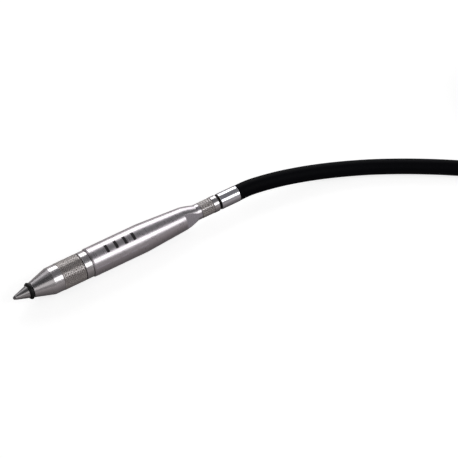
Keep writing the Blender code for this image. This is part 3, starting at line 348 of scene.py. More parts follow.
hank_entry = hank_direction(0)
hank_exit = hank_direction(HANK_TURNS)
hank_lead_in = hank_point(0) - hank_entry * 2 * HOSE_RADIUS
hank_end = hank_point(HANK_TURNS) + hank_exit * 2 * HOSE_RADIUS
hose_start = FERRULE_FACE + Vector((SEAT_GAP, 0, PEN_AXIS.z))
hose_finish = hank_lead_in - hank_entry * SEAT_GAP
run_out = Vector((HOSE_RUN_OUT, 0, 0))
hose_knots = [
    hose_start - run_out, hose_start, hose_start + run_out,
    *[FERRULE_FACE + Vector((along * MM, across * MM, HOSE_RADIUS + lift * MM))
      for along, across, lift in HOSE_ROUTE],
    hose_finish - hank_entry * HOSE_RUN_OUT, hose_finish, hank_point(0),
]
hank_count = math.floor(HANK_TURNS * HANK_POINTS_PER_TURN)
hose_line = [*smooth_curve(hose_knots, HOSE_POINT_PITCH), hank_lead_in,
             *[hank_point(i / HANK_POINTS_PER_TURN) for i in range(hank_count + 1)], hank_end]

hose_curve = bpy.data.curves.new("hose", "CURVE")
hose_curve.dimensions = "3D"
hose_curve.bevel_depth = HOSE_RADIUS
hose_curve.bevel_resolution = HOSE_BEVEL_RESOLUTION
hose_curve.use_fill_caps = True
hose_spline = hose_curve.splines.new("POLY")
hose_spline.points.add(len(hose_line) - 1)
for knot, place in zip(hose_spline.points, hose_line):
    knot.co = (*place, 1)
hose_spline.use_smooth = True
hose = bpy.data.objects.new("air_hose", hose_curve)
bpy.context.collection.objects.link(hose)


def dull_finish(name, tones, dull, pattern, shader, relief=None, bump=(0, 0)):
    """A finish whose tone and dullness follow one pattern, and whose bump follows another.

    A pattern is a texture node, its settings and its output, and the bump is its strength
    and its height in mm.
    """
    material, output, place = new_finish(name)
    kind, settings, socket = pattern
    shade = add_node(material, kind, settings, {"Vector": place}).outputs[socket]
    tone = add_node(material, "ShaderNodeMix", {
        "data_type": "RGBA", 6: linear_colour(tones[0]), 7: linear_colour(tones[1])},
        {0: shade})
    roughness = add_node(material, "ShaderNodeMapRange", {"To Min": dull[0], "To Max": dull[1]},
                         {"Value": shade})
    links = {"Base Color": tone.outputs[2], "Roughness": roughness.outputs[0]}
    if relief:
        kind, settings, socket = relief
        height = add_node(material, kind, settings, {"Vector": place}).outputs[socket]
        raised = add_node(material, "ShaderNodeBump", {
            "Strength": bump[0], "Distance": bump[1] * MM}, {"Height": height})
        links["Normal"] = raised.outputs["Normal"]
    surface = add_node(material, "ShaderNodeBsdfPrincipled", shader, links)
    return close_finish(material, output, surface.outputs[0])


# Extruded polyurethane: a very dark, slightly blue black with a broad dull sheen, fine
# extrusion ripples and faint handling smears
hose_black = dull_finish(
    "extruded_black_polyurethane", ("#050508", "#08080c"), (0.5, 0.64),
    ("ShaderNodeTexNoise", {"Scale": 0.06 / MM, "Detail": 4.0}, "Fac"),
    {"Specular IOR Level": 0.035, "IOR": 1.5},
    ("ShaderNodeTexNoise", {"Scale": 1.4 / MM, "Detail": 2.0}, "Fac"), (0.15, 0.05))
hose.data.materials.append(hose_black)
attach(hose, "pen")
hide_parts("hose", "hose_coil")


# Turned pieces: each is turned about the pen's axis, which the helper does ring by ring
SHARP_ANGLE = math.radians(12)
SMOOTH_ANGLE = math.radians(25)
BODY_SIDES = 128
SMALL_SIDES = 64
EDGE_SEGMENTS = 3
MERGE_DISTANCE = 0.002 * MM
PEN_FRONT = -78.225
PEN_LINE = (Vector((PEN_FRONT * MM, 0, PEN_AXIS.z)), 1)


def on_axis(station, line=PEN_LINE):
    """Point of a line of stations, which runs from its origin along +X or -X."""
    origin, heading = line
    return origin + Vector((heading * station * MM, 0, 0))


def only(piece):
    """Selects this piece alone and makes it active."""
    bpy.ops.object.select_all(action="DESELECT")
    piece.select_set(True)
    bpy.context.view_layer.objects.active = piece


def turn(name, outline, sides, closed=False, line=PEN_LINE):
    """A turned piece from its (station, radius) outline in mm; a closed one is a ring."""
    station, radius = outline[0]
    bpy.ops.object.select_all(action="DESELECT")
    bpy.ops.mesh.primitive_circle_add(
        vertices=sides, radius=radius * MM, fill_type="NOTHING" if closed else "NGON",
        location=on_axis(station, line), rotation=(0, FULL_TURN / 4, 0))
    piece = bpy.context.active_object
    piece.name = piece.data.name = name
    bpy.ops.object.mode_set(mode="EDIT")
    bpy.ops.mesh.select_all(action="SELECT")
    for next_station, next_radius in outline[1:]:
        bpy.ops.mesh.extrude_region_move(TRANSFORM_OT_translate={
            "value": on_axis(next_station, line) - on_axis(station, line)})
        growth = next_radius / radius
        if growth != 1:
            bpy.ops.transform.resize(value=(growth,) * 3,
                                     center_override=on_axis(next_station, line))
        station, radius = next_station, next_radius
    bpy.ops.mesh.select_all(action="SELECT")
    bpy.ops.mesh.remove_doubles(threshold=MERGE_DISTANCE)
    bpy.ops.mesh.normals_make_consistent(inside=False)
    bpy.ops.object.mode_set(mode="OBJECT")
    bpy.ops.object.transform_apply(location=True, rotation=True, scale=True)
    return piece


def apply_modifier(piece, kind, **settings):
    only(piece)
    modifier = piece.modifiers.new(kind.lower(), kind)
    for key, value in settings.items():
        setattr(modifier, key, value)
    bpy.ops.object.modifier_apply(modifier=modifier.name)


def break_edges(piece, width):
    """Rounds the sharp edges as a file does, and shades the rest smooth."""
    if width:
        apply_modifier(piece, "BEVEL", width=width * MM, segments=EDGE_SEGMENTS,
                       limit_method="ANGLE", angle_limit=SHARP_ANGLE,
                       use_clamp_overlap=True)
    only(piece)
    bpy.ops.object.shade_smooth_by_angle(angle=SMOOTH_ANGLE)
    apply_modifier(piece, "WEIGHTED_NORMAL", keep_sharp=True)


def fit(piece, body, node):
    """Gives a finished piece its body, and hides the CAD node it stands for."""
    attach(piece, body)
    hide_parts(node)


def turned_metal(name, dark, light, dull, mark, depth, across=0.14):
    """A metal turned on a lathe: fine rings round its axis, and soft smears from hands.

    The rings' pitch and depth are in mm. The finest real ones don't show at this distance, so
    the pitch is as coarse as it needs to show. Across gives their patches per mm round the axis.
    """
    material, output, place = new_finish(name)
    around = across / MM
    rings_place = add_node(material, "ShaderNodeMapping",
                           {"Scale": (1 / (mark * MM), around, around),
                            "Location": (0, 0, -PEN_AXIS.z * around)}, {"Vector": place})
    rings = add_node(material, "ShaderNodeTexNoise", {"Scale": 1.0, "Detail": 3.0},
                     {"Vector": rings_place.outputs[0]})
    smear = add_node(material, "ShaderNodeTexNoise", {"Scale": 0.16 / MM, "Detail": 3.0},
                     {"Vector": place})
    blend = add_node(material, "ShaderNodeMath", {"operation": "MULTIPLY_ADD", 1: 0.5, 2: 0.25},
                     {0: rings.outputs["Fac"]})
    tone = add_node(material, "ShaderNodeMix", {
        "data_type": "RGBA", 6: linear_colour(dark), 7: linear_colour(light)},
        {0: blend.outputs[0]})
    ring_dull = add_node(material, "ShaderNodeMapRange", {
        "From Min": 0.3, "From Max": 0.7, "To Min": dull[0], "To Max": dull[1]},
        {"Value": rings.outputs["Fac"]})
    smear_dull = add_node(material, "ShaderNodeMapRange", {
        "From Min": 0.35, "From Max": 0.7, "To Min": -0.02, "To Max": 0.04},
        {"Value": smear.outputs["Fac"]})
    roughness = add_node(material, "ShaderNodeMath", {"operation": "ADD"}, {
        0: ring_dull.outputs[0], 1: smear_dull.outputs[0]})
    bump = add_node(material, "ShaderNodeBump", {"Strength": 0.3, "Distance": depth * MM},
                    {"Height": rings.outputs["Fac"]})
    metal = add_node(material, "ShaderNodeBsdfPrincipled", {"Metallic": 1.0},
                     {"Base Color": tone.outputs[2], "Roughness": roughness.outputs[0],
                      "Normal": bump.outputs["Normal"]})
    return close_finish(material, output, metal.outputs[0])


# Carbide tip: ground tungsten carbide, with a blunt nose and a pin that is brazed into the
# stylus
NOSE_RADIUS = 0.95
NOSE_DEPTH = 0.57
NOSE_STEPS = 8
NOSE_STEP = math.radians(10)
POLE_RADIUS = 0.02
HEAD_LENGTH = 9.6
HEAD_RADIUS = 3.85
CARBIDE_LENGTH = 1.3
CARBIDE_PIN_RADIUS = 0.9
CARBIDE_PIN_END = 6.9
CARBIDE_EDGE = 0.04
BRAZE_STEP = 0.08


def cone_radius(station):
    """Radius of the stylus cone, from its nose to its widest place."""
    return NOSE_RADIUS + (HEAD_RADIUS - NOSE_RADIUS) * station / HEAD_LENGTH


# Ground carbide: a dark warm grey, duller than the steel that holds it. The grey is partly
# carbide's own and partly painted shade, for the dark reflection at the nose end
carbide = turned_metal("ground_tungsten_carbide", "#686567", "#7e7b7d", (0.24, 0.32), 0.09,
                       0.002)
nose_arc = [(NOSE_DEPTH * (1 - math.cos(NOSE_STEP * i)), NOSE_RADIUS * math.sin(NOSE_STEP * i))
            for i in range(1, NOSE_STEPS + 1)]
carbide_tip = turn("carbide_point", [
    (0, POLE_RADIUS), *nose_arc, (CARBIDE_LENGTH, cone_radius(CARBIDE_LENGTH) - BRAZE_STEP),
    (CARBIDE_LENGTH, CARBIDE_PIN_RADIUS), (CARBIDE_PIN_END, CARBIDE_PIN_RADIUS)], SMALL_SIDES)
break_edges(carbide_tip, CARBIDE_EDGE)
carbide_tip.data.materials.append(carbide)
fit(carbide_tip, "stylus", "carbide_tip")

# Stylus: one hardened and ground steel piece, with its cone, the neck for the bumper ring,
# the shank, the spring's collar and the anvil that the hammer strikes
STYLUS_SIDES = 96
STYLUS_EDGE = 0.06
PIN_HOLE_RADIUS = 1.0
PIN_HOLE_END = 7.2
CONE_START = 1.4
CONE_LIP = 0.15
CONE_LIP_DROP = 0.12
HEAD_CHAMFER = 0.2
STYLUS_NECK_RADIUS = 2.7
SHANK_RADIUS = 2.5
COLLAR_START = 28.85
COLLAR_END = 32.15
COLLAR_RADIUS = 4.9
ANVIL_RADIUS = 2.95
ANVIL_END = 41.85
ANVIL_CHAMFER = 0.4
CAP_FRONT = 12.35

# Ground steel: a neutral grey with clear soft-edged reflections, between the dark carbide and
# the bright cap
ground_steel = turned_metal("hardened_ground_steel", "#a3a1a2", "#bfbdbe", (0.2, 0.3), 0.12,
                            0.002)
stylus = turn("stylus_body", [
    (PIN_HOLE_END, PIN_HOLE_RADIUS), (CONE_START, PIN_HOLE_RADIUS),
    (CONE_START, cone_radius(CONE_START) - CONE_LIP_DROP),
    (CONE_START + CONE_LIP, cone_radius(CONE_START + CONE_LIP)), (HEAD_LENGTH, HEAD_RADIUS),
    (HEAD_LENGTH + HEAD_CHAMFER, HEAD_RADIUS - HEAD_CHAMFER),
    (HEAD_LENGTH + HEAD_CHAMFER, STYLUS_NECK_RADIUS), (CAP_FRONT, STYLUS_NECK_RADIUS),
    (CAP_FRONT, SHANK_RADIUS), (COLLAR_START, SHANK_RADIUS), (COLLAR_START, COLLAR_RADIUS),
    (COLLAR_END, COLLAR_RADIUS), (COLLAR_END, ANVIL_RADIUS),
    (ANVIL_END - ANVIL_CHAMFER, ANVIL_RADIUS), (ANVIL_END, ANVIL_RADIUS - ANVIL_CHAMFER)],
    STYLUS_SIDES)
break_edges(stylus, STYLUS_EDGE)
stylus.data.materials.append(ground_steel)
fit(stylus, "stylus", "stylus")

# Bumper ring: moulded nitrile rubber of a thick round cord, with the thin flash line that
# the two mould halves leave round it. It stops the stylus at the nose cap.
RING_CORD_SIDES = 32
FLASH_HEIGHT = 0.04
BUMPER_STATION = 11.05
BUMPER_RADIUS = 5.2
BUMPER_CORD = 2.3

# Nitrile: black, with a soft sheen that its bloom breaks up
rubber_bloom = ("ShaderNodeTexNoise", {"Scale": 0.5 / MM, "Detail": 4.0}, "Fac")
rubber = dull_finish("moulded_nitrile_rubber", ("#070708", "#0f0f10"), (0.36, 0.52),
                     rubber_bloom, {"Specular IOR Level": 0.2, "IOR": 1.52},
                     rubber_bloom, (0.2, 0.04))


def rubber_ring(name, station, outer, cord):
    """A moulded ring of a round cord, with its flash line on the outside."""
    half = cord / 2
    turns = [FULL_TURN * i / RING_CORD_SIDES for i in range(RING_CORD_SIDES)]
    arc = [(station + half * math.sin(turned),
            outer - half + half * math.cos(turned) + (0 if turned else FLASH_HEIGHT))
           for turned in turns]
    piece = turn(name, arc + arc[:1], BODY_SIDES, closed=True)
    only(piece)
    bpy.ops.object.shade_smooth()
    piece.data.materials.append(rubber)
    return piece


fit(rubber_ring("bumper_ring", BUMPER_STATION, BUMPER_RADIUS, BUMPER_CORD),
    "stylus", "stylus_bumper_ring")


# Nose cap: turned stainless steel, with a polished cone and band, and a fine diamond knurl
# that is rolled into it. It screws on the cylinder and holds the bushing and the spring.
CAP_FACE_RADIUS = 4.75
CAP_FACE_CHAMFER = 0.3
CAP_CONE_END = 25.15
CAP_BAND_RADIUS = 8.4
CAP_REAR = 45.9
CAP_REAR_RADIUS = 8.05
CAP_BUSH_BORE = 3.75
CAP_BUSH_END = 18.55
CAP_SPRING_BORE = 5.2
CAP_THREAD_BORE = 7.0
CAP_EDGE = 0.08
KNURL_SHOULDER = 0.1
NOSE_KNURL_START = 31.05
NOSE_KNURL_END = 45.75
NOSE_KNURL_RADIUS = 8.55
NOSE_KNURL_DEPTH = 0.3
NOSE_KNURL_AROUND = 30
NOSE_KNURL_ROWS = 8
NOSE_KNURL_GROOVE_SHARE = 0.13
ROW_TOLERANCE = 0.1


def knurl(name, start, end, radius, depth, around, along, groove_share):
    """Rolled diamond knurl, as many diamonds round the axis and along it as need to show.

    The squares of a plain tube are poked and lose their first edges, except on the two rims.
    The diamonds that are left are inset and raised, which leaves the grooves between them.
    """
    step = (end - start) / along
    piece = turn(name, [(start + step * i, radius - depth) for i in range(along + 1)],
                 around, closed=True)
    mesh = piece.data
    bpy.ops.object.mode_set(mode="EDIT")
    bpy.ops.mesh.select_all(action="SELECT")
    bpy.ops.mesh.poke()
    bpy.ops.mesh.select_mode(type="EDGE")
    bpy.ops.mesh.select_all(action="DESELECT")
    bpy.ops.object.mode_set(mode="OBJECT")
    rows = [(v.co.x / MM - PEN_FRONT - start) / step for v in mesh.vertices]
    on_ring = [abs(row - round(row)) < ROW_TOLERANCE for row in rows]
    for edge in mesh.edges:
        a, b = edge.vertices
        middle_row = (rows[a] + rows[b]) / 2
        on_rim = min(middle_row, along - middle_row) < ROW_TOLERANCE
        edge.select = on_ring[a] and on_ring[b] and not on_rim
    bpy.ops.object.mode_set(mode="EDIT")
    bpy.ops.mesh.dissolve_edges(use_verts=False, use_face_split=False)
    bpy.ops.mesh.select_mode(type="FACE")
    bpy.ops.mesh.select_all(action="SELECT")
    bpy.ops.mesh.normals_make_consistent(inside=False)
    bpy.ops.mesh.inset(thickness=step * MM * groove_share, depth=depth * MM,
                       use_individual=True, use_even_offset=True)
    bpy.ops.mesh.select_mode(type="VERT")
    bpy.ops.object.mode_set(mode="OBJECT")
    return piece


def join(piece, *others):
    only(piece)
    for other in others:
        other.select_set(True)
    bpy.ops.object.join()
    return piece


# Turned stainless steel: bright and clear, so the two soft boxes stand in it as white bands
polished_steel = turned_metal("turned_stainless_steel", "#b9b6b8", "#cbc8ca", (0.2, 0.27),
                              0.10, 0.0005)
# Knurled stainless steel: a warmer, duller grey; its tone is set darker than the turned
# steel's as painted shade for its grooves
knurled_steel = turned_metal("knurled_stainless_steel", "#989392", "#aaa5a2", (0.36, 0.46),
                             0.5, 0.001, across=2.0)
nose_knurl_root = NOSE_KNURL_RADIUS - NOSE_KNURL_DEPTH
nose_cap = turn("nose_cap_body", [
    (CAP_BUSH_END, CAP_BUSH_BORE), (CAP_FRONT, CAP_BUSH_BORE),
    (CAP_FRONT, CAP_FACE_RADIUS - CAP_FACE_CHAMFER),
    (CAP_FRONT + CAP_FACE_CHAMFER, CAP_FACE_RADIUS), (CAP_CONE_END, CAP_BAND_RADIUS),
    (NOSE_KNURL_START - KNURL_SHOULDER, CAP_BAND_RADIUS), (NOSE_KNURL_START, nose_knurl_root),
    (NOSE_KNURL_END, nose_knurl_root), (CAP_REAR, CAP_REAR_RADIUS), (CAP_REAR, CAP_THREAD_BORE),
    (COLLAR_END, CAP_THREAD_BORE), (COLLAR_END, CAP_SPRING_BORE),
    (CAP_BUSH_END, CAP_SPRING_BORE), (CAP_BUSH_END, CAP_BUSH_BORE)], BODY_SIDES, closed=True)
break_edges(nose_cap, CAP_EDGE)
nose_cap.data.materials.append(polished_steel)
nose_knurl = knurl("nose_knurl", NOSE_KNURL_START, NOSE_KNURL_END, NOSE_KNURL_RADIUS,
                   NOSE_KNURL_DEPTH, NOSE_KNURL_AROUND, NOSE_KNURL_ROWS,
                   NOSE_KNURL_GROOVE_SHARE)
nose_knurl.data.materials.append(knurled_steel)
fit(join(nose_cap, nose_knurl), "pen", "nose_cap")

# Return spring: drawn spring steel wire, wound in five curls whose ends are closed. Its front
# end rests on the bushing, and its rear end on the stylus collar.
SPRING_START = 20.57
SPRING_END = 28.13
SPRING_RADIUS = 3.9
SPRING_WIRE_RADIUS = 0.42
SPRING_CURLS = 5
SPRING_DEAD_CURLS = 0.75
SPRING_DEAD_PITCH = 1.0
SPRING_POINTS_PER_CURL = 24
SPRING_BEVEL_RESOLUTION = 4

spring_live_curls = SPRING_CURLS - 2 * SPRING_DEAD_CURLS
spring_dead_length = SPRING_DEAD_CURLS * SPRING_DEAD_PITCH
spring_live_pitch = (SPRING_END - SPRING_START - 2 * spring_dead_length) / spring_live_curls
spring_curve = bpy.data.curves.new("spring", "CURVE")
spring_curve.dimensions = "3D"
spring_curve.bevel_depth = SPRING_WIRE_RADIUS * MM
spring_curve.bevel_resolution = SPRING_BEVEL_RESOLUTION
spring_curve.use_fill_caps = True
spring_wire = spring_curve.splines.new("POLY")
spring_wire.points.add(SPRING_CURLS * SPRING_POINTS_PER_CURL)
for number, knot in enumerate(spring_wire.points):
    curl = number / SPRING_POINTS_PER_CURL
    lead = min(curl, SPRING_DEAD_CURLS)
    tail = max(curl - SPRING_DEAD_CURLS - spring_live_curls, 0)
    station = SPRING_START + (lead + tail) * SPRING_DEAD_PITCH + (
        curl - lead - tail) * spring_live_pitch
    place = on_axis(station) + SPRING_RADIUS * MM * Vector(
        (0, math.sin(FULL_TURN * curl), -math.cos(FULL_TURN * curl)))
    knot.co = (*place, 1)
spring = bpy.data.objects.new("stylus_return_spring", spring_curve)
bpy.context.collection.objects.link(spring)
only(spring)
bpy.ops.object.convert(target="MESH")
bpy.ops.object.shade_smooth_by_angle(angle=SMOOTH_ANGLE)
# Drawn wire: a darker, bluish grey, dull from the drawing die and the tempering
spring.data.materials.append(turned_metal(
    "drawn_spring_steel_wire", "#77767a", "#8f8e92", (0.28, 0.38), 0.3, 0.001))
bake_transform(spring)
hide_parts("stylus_spring")

# Cylinder: turned and honed steel. Its flange is the narrow bright band between the nose cap
# and the barrel, and the rest of it is inside them, with two seal grooves and two air ports.
CYLINDER_FRONT = 32.45
CYLINDER_END = 84.55
CYLINDER_THREAD_RADIUS = 6.9
CYLINDER_RADIUS = 7.2
CYLINDER_BORE = 5.0
CYLINDER_BORE_START = 41.55
ANVIL_BORE = 3.0
FLANGE_START = 46.2
FLANGE_END = 51.0
FLANGE_RADIUS = 8.5
FLANGE_CHAMFER = 0.25
FLANGE_FRONT_LENGTH = 0.15
FLANGE_FRONT_DROP = 0.2
CAP_SEAL_STATION = 44.8
CAP_SEAL_ROOT = 6.0
BARREL_SEAL_STATION = 52.7
BARREL_SEAL_ROOT = 6.3
SEAL_GROOVE_HALF = 0.6
AIR_PORT_STATIONS = (65.09, 77.17)
AIR_PORT_RADIUS = 0.8
DRILL_LENGTH = 20.0
DRILL_SIDES = 24
CYLINDER_EDGE = 0.05


def combine(piece, tool, operation):
    """Cuts, trims or joins a piece with a tool's shape, and gives the same mesh in each run.

    The solver adds an empty material slot, which would show as plain grey, so it's cleared.
    """
    apply_modifier(piece, "BOOLEAN", operation=operation, object=tool, solver="MANIFOLD")
    piece.data.materials.clear()
    bpy.data.objects.remove(tool, do_unlink=True)


def seal_groove(station, radius, root):
    """The four points of a square groove, from the outside down to its root and back."""
    return [(station - SEAL_GROOVE_HALF, radius), (station - SEAL_GROOVE_HALF, root),
            (station + SEAL_GROOVE_HALF, root), (station + SEAL_GROOVE_HALF, radius)]


cylinder = turn("cylinder_body", [
    (CYLINDER_BORE_START, ANVIL_BORE), (CYLINDER_FRONT, ANVIL_BORE),
    (CYLINDER_FRONT, CYLINDER_THREAD_RADIUS),
    *seal_groove(CAP_SEAL_STATION, CYLINDER_THREAD_RADIUS, CAP_SEAL_ROOT),
    (FLANGE_START, CYLINDER_THREAD_RADIUS), (FLANGE_START, FLANGE_RADIUS - FLANGE_FRONT_DROP),
    (FLANGE_START + FLANGE_FRONT_LENGTH, FLANGE_RADIUS),
    (FLANGE_END - FLANGE_CHAMFER, FLANGE_RADIUS), (FLANGE_END, FLANGE_RADIUS - FLANGE_CHAMFER),
    (FLANGE_END, CYLINDER_RADIUS),
    *seal_groove(BARREL_SEAL_STATION, CYLINDER_RADIUS, BARREL_SEAL_ROOT),
    (CYLINDER_END, CYLINDER_RADIUS), (CYLINDER_END, CYLINDER_BORE),
    (CYLINDER_BORE_START, CYLINDER_BORE), (CYLINDER_BORE_START, ANVIL_BORE)],
    BODY_SIDES, closed=True)
for station in AIR_PORT_STATIONS:
    bpy.ops.mesh.primitive_cylinder_add(vertices=DRILL_SIDES, radius=AIR_PORT_RADIUS * MM,
                                        depth=DRILL_LENGTH * MM, location=on_axis(station))
    combine(cylinder, bpy.context.active_object, "DIFFERENCE")
break_edges(cylinder, CYLINDER_EDGE)
cylinder.data.materials.append(polished_steel)
fit(cylinder, "pen", "cylinder")

# Barrel: satin turned stainless steel tube with a long taper, a round tail and a short neck.
# Two wrench flats are milled across the tail.
MOUTH = 51.3
MOUTH_RADIUS = 8.55
MOUTH_ROUND_END = 52.2
BARREL_RADIUS = 9.0
TAPER_START = 88.65
TAIL_START = 117.85
TAIL_LENGTH = 8.7
TAIL_RADIUS = 7.15
TAIL_BULGE = 0.22
TAIL_STEPS = 14
NECK_RADIUS = 4.9
NECK_END = 129.15
NECK_CHAMFER = 0.1
CYLINDER_ROOM = 7.3
CYLINDER_ROOM_END = 89.15
HEAD_ROOM = 4.5
HEAD_ROOM_END = 104.15
AIR_BORE = 1.6
AIR_BORE_START = 106.65
STEM_BORE = 3.75
STEM_BORE_START = 112.25
BARREL_EDGE = 0.16
RIM_MERGE = 0.12 * MM
FLAT_TILT = math.radians(16)
FLAT_DISTANCE = 4.75
FLAT_START = 117.0
CUTTER_END = 130.0
CUTTER_DEPTH = 9.0
CUTTER_WIDTH = 18.0
TICK_STATIONS = (62.95, 69.25, 75.5, 81.4)
TICK_WIDTH = 1.9

# Satin stainless steel: bright, with a faint pink, its bands soft at their edges
barrel_steel = turned_metal("satin_turned_stainless_steel", "#b3aeb3", "#c6c1c5",
                            (0.26, 0.34), 0.35, 0.002)
# Milled stainless steel for the wrench flats: its own milled finish, and a tone lighter and
# bluer than the turned tail as a painted reflection, so the flat stands out
milled_steel = turned_metal("milled_stainless_steel", "#bfbdc6", "#d6d4dc", (0.24, 0.32), 0.3,
                            0.003)

# The tail is a cone with a bulge, and a ring at each side of a tick gives it faces of its own
tail_outline = []
for number in range(TAIL_STEPS + 1):
    share = number / TAIL_STEPS
    line = TAIL_RADIUS + (NECK_RADIUS - TAIL_RADIUS) * share
    bulge = 4 * TAIL_BULGE * share * (1 - share)
    tail_outline.append((TAIL_START + TAIL_LENGTH * share, line + bulge))
tick_rings = [(station + side * TICK_WIDTH / 2, BARREL_RADIUS)
              for station in TICK_STATIONS for side in (-1, 1)]
barrel = turn("barrel_body", [
    (MOUTH, CYLINDER_ROOM), (MOUTH, MOUTH_RADIUS), (MOUTH_ROUND_END, BARREL_RADIUS),
    *tick_rings, (TAPER_START, BARREL_RADIUS), *tail_outline,
    (NECK_END - NECK_CHAMFER, NECK_RADIUS), (NECK_END, NECK_RADIUS - NECK_CHAMFER),
    (NECK_END, STEM_BORE), (STEM_BORE_START, STEM_BORE), (STEM_BORE_START, AIR_BORE),
    (AIR_BORE_START, AIR_BORE), (HEAD_ROOM_END, HEAD_ROOM),
    (CYLINDER_ROOM_END, HEAD_ROOM), (CYLINDER_ROOM_END, CYLINDER_ROOM), (MOUTH, CYLINDER_ROOM)],
    BODY_SIDES, closed=True)
flat_facing = Vector((0, -math.cos(FLAT_TILT), math.sin(FLAT_TILT)))
for side in (1, -1):
    away = flat_facing * side * (FLAT_DISTANCE + CUTTER_DEPTH / 2) * MM
    bpy.ops.mesh.primitive_cube_add(
        size=1, location=on_axis((FLAT_START + CUTTER_END) / 2) + away,
        rotation=(-FLAT_TILT, 0, 0))
    cutter = bpy.context.active_object
    cutter.scale = ((CUTTER_END - FLAT_START) * MM, CUTTER_DEPTH * MM, CUTTER_WIDTH * MM)
    bpy.ops.object.transform_apply(location=True, rotation=True, scale=True)
    combine(barrel, cutter, "DIFFERENCE")
only(barrel)
bpy.ops.object.mode_set(mode="EDIT")
bpy.ops.mesh.select_all(action="SELECT")
bpy.ops.mesh.remove_doubles(threshold=RIM_MERGE)
bpy.ops.object.mode_set(mode="OBJECT")
break_edges(barrel, BARREL_EDGE)

# Four plain ticks printed across the barrel's top, in matt black ink that is worn a little.
# The faces inside the ticks are inked, and those of the wrench flats get the milled steel,
# whose lighter, bluer tone is a painted reflection.
TICK_START = math.radians(0)
TICK_END = math.radians(34.5)
INK_INNER_RADIUS = 8.9
FLAT_ALIGNMENT = 0.999
FLAT_AREA = 1e-6

black_ink = dull_finish(
    "printed_black_ink", ("#1b181b", "#2f2b2f"), (0.45, 0.65),
    ("ShaderNodeTexNoise", {"Scale": 2.5 / MM, "Detail": 3.0}, "Fac"),
    {"Specular IOR Level": 0.2})
for material in (barrel_steel, milled_steel, black_ink):
    barrel.data.materials.append(material)
for face in barrel.data.polygons:
    # Faces that face a flat take the milled steel and its painted reflection
    if abs(face.normal.dot(flat_facing)) > FLAT_ALIGNMENT and face.area > FLAT_AREA:
        face.material_index = 1
    station = face.center.x / MM - PEN_FRONT
    lean = math.atan2(-face.center.y, face.center.z - PEN_AXIS.z)
    outside = math.hypot(face.center.y, face.center.z - PEN_AXIS.z) > INK_INNER_RADIUS * MM
    if outside and TICK_START < lean < TICK_END and min(
            abs(station - tick) for tick in TICK_STATIONS) < TICK_WIDTH / 2:
        face.material_index = 2
fit(barrel, "pen", "barrel")

# Throttle ring: turned steel with the same rolled diamond knurl and a plain collar. It turns
# a quarter turn on the stem to let the air through.
RING_START = 129.45
RING_END = 141.85
RING_BORE = 3.75
RING_ROOT_RADIUS = 4.7
RING_COLLAR_RADIUS = 5.1
RING_CHAMFER = 0.35
RING_STEP = 0.05
RING_EDGE = 0.06
RING_KNURL_START = 129.5
RING_KNURL_END = 138.1
RING_KNURL_RADIUS = 5.0
RING_KNURL_DEPTH = 0.28
RING_KNURL_AROUND = 18
RING_KNURL_ROWS = 5
RING_KNURL_GROOVE_SHARE = 0.2

ring = turn("throttle_ring_body", [
    (RING_START, RING_BORE), (RING_START, RING_ROOT_RADIUS - RING_STEP),
    (RING_START + RING_STEP, RING_ROOT_RADIUS), (RING_KNURL_END - RING_STEP, RING_ROOT_RADIUS),
    (RING_KNURL_END + RING_STEP, RING_COLLAR_RADIUS),
    (RING_END - RING_CHAMFER, RING_COLLAR_RADIUS), (RING_END, RING_COLLAR_RADIUS - RING_CHAMFER),
    (RING_END, RING_BORE), (RING_START, RING_BORE)], BODY_SIDES, closed=True)
break_edges(ring, RING_EDGE)
ring.data.materials.append(polished_steel)
ring_knurl = knurl("ring_knurl", RING_KNURL_START, RING_KNURL_END, RING_KNURL_RADIUS,
                   RING_KNURL_DEPTH, RING_KNURL_AROUND, RING_KNURL_ROWS,
                   RING_KNURL_GROOVE_SHARE)
ring_knurl.data.materials.append(knurled_steel)
fit(join(ring, ring_knurl), "throttle", "throttle_ring")

# Dust ring: a thin moulded rubber ring that keeps dirt out behind the throttle ring
DUST_RING_STATION = 142.6
DUST_RING_RADIUS = 4.4
DUST_RING_CORD = 0.9
fit(rubber_ring("dust_ring", DUST_RING_STATION, DUST_RING_RADIUS, DUST_RING_CORD),
    "pen", "throttle_dust_ring")

# Hose ferrule: a chromed and polished steel sleeve, crimped over the hose on its nipple
FERRULE_START = 143.35
FERRULE_LENGTH = 13.1
FERRULE_BORE = 4.5
FERRULE_RADIUS = 5.05
FERRULE_CHAMFER = 0.2
FERRULE_EDGE = 0.08

# Polished chrome plate: the brightest and clearest of the metals, with a cool tinge
chrome = turned_metal("polished_chrome_plate", "#cfcfd4", "#dcdce1", (0.15, 0.19), 0.2, 0.0005)


def crimped_ferrule(name, start, node, line=PEN_LINE):
    end = start + FERRULE_LENGTH
    face_radius = FERRULE_RADIUS - FERRULE_CHAMFER
    piece = turn(name, [
        (start, FERRULE_BORE), (start, face_radius), (start + FERRULE_CHAMFER, FERRULE_RADIUS),
        (end - FERRULE_CHAMFER, FERRULE_RADIUS), (end, face_radius), (end, FERRULE_BORE),
        (start, FERRULE_BORE)], BODY_SIDES, closed=True, line=line)
    break_edges(piece, FERRULE_EDGE)
    piece.data.materials.append(chrome)
    fit(piece, "pen", node)
    return piece


crimped_ferrule("pen_hose_ferrule", FERRULE_START, "hose_ferrule")

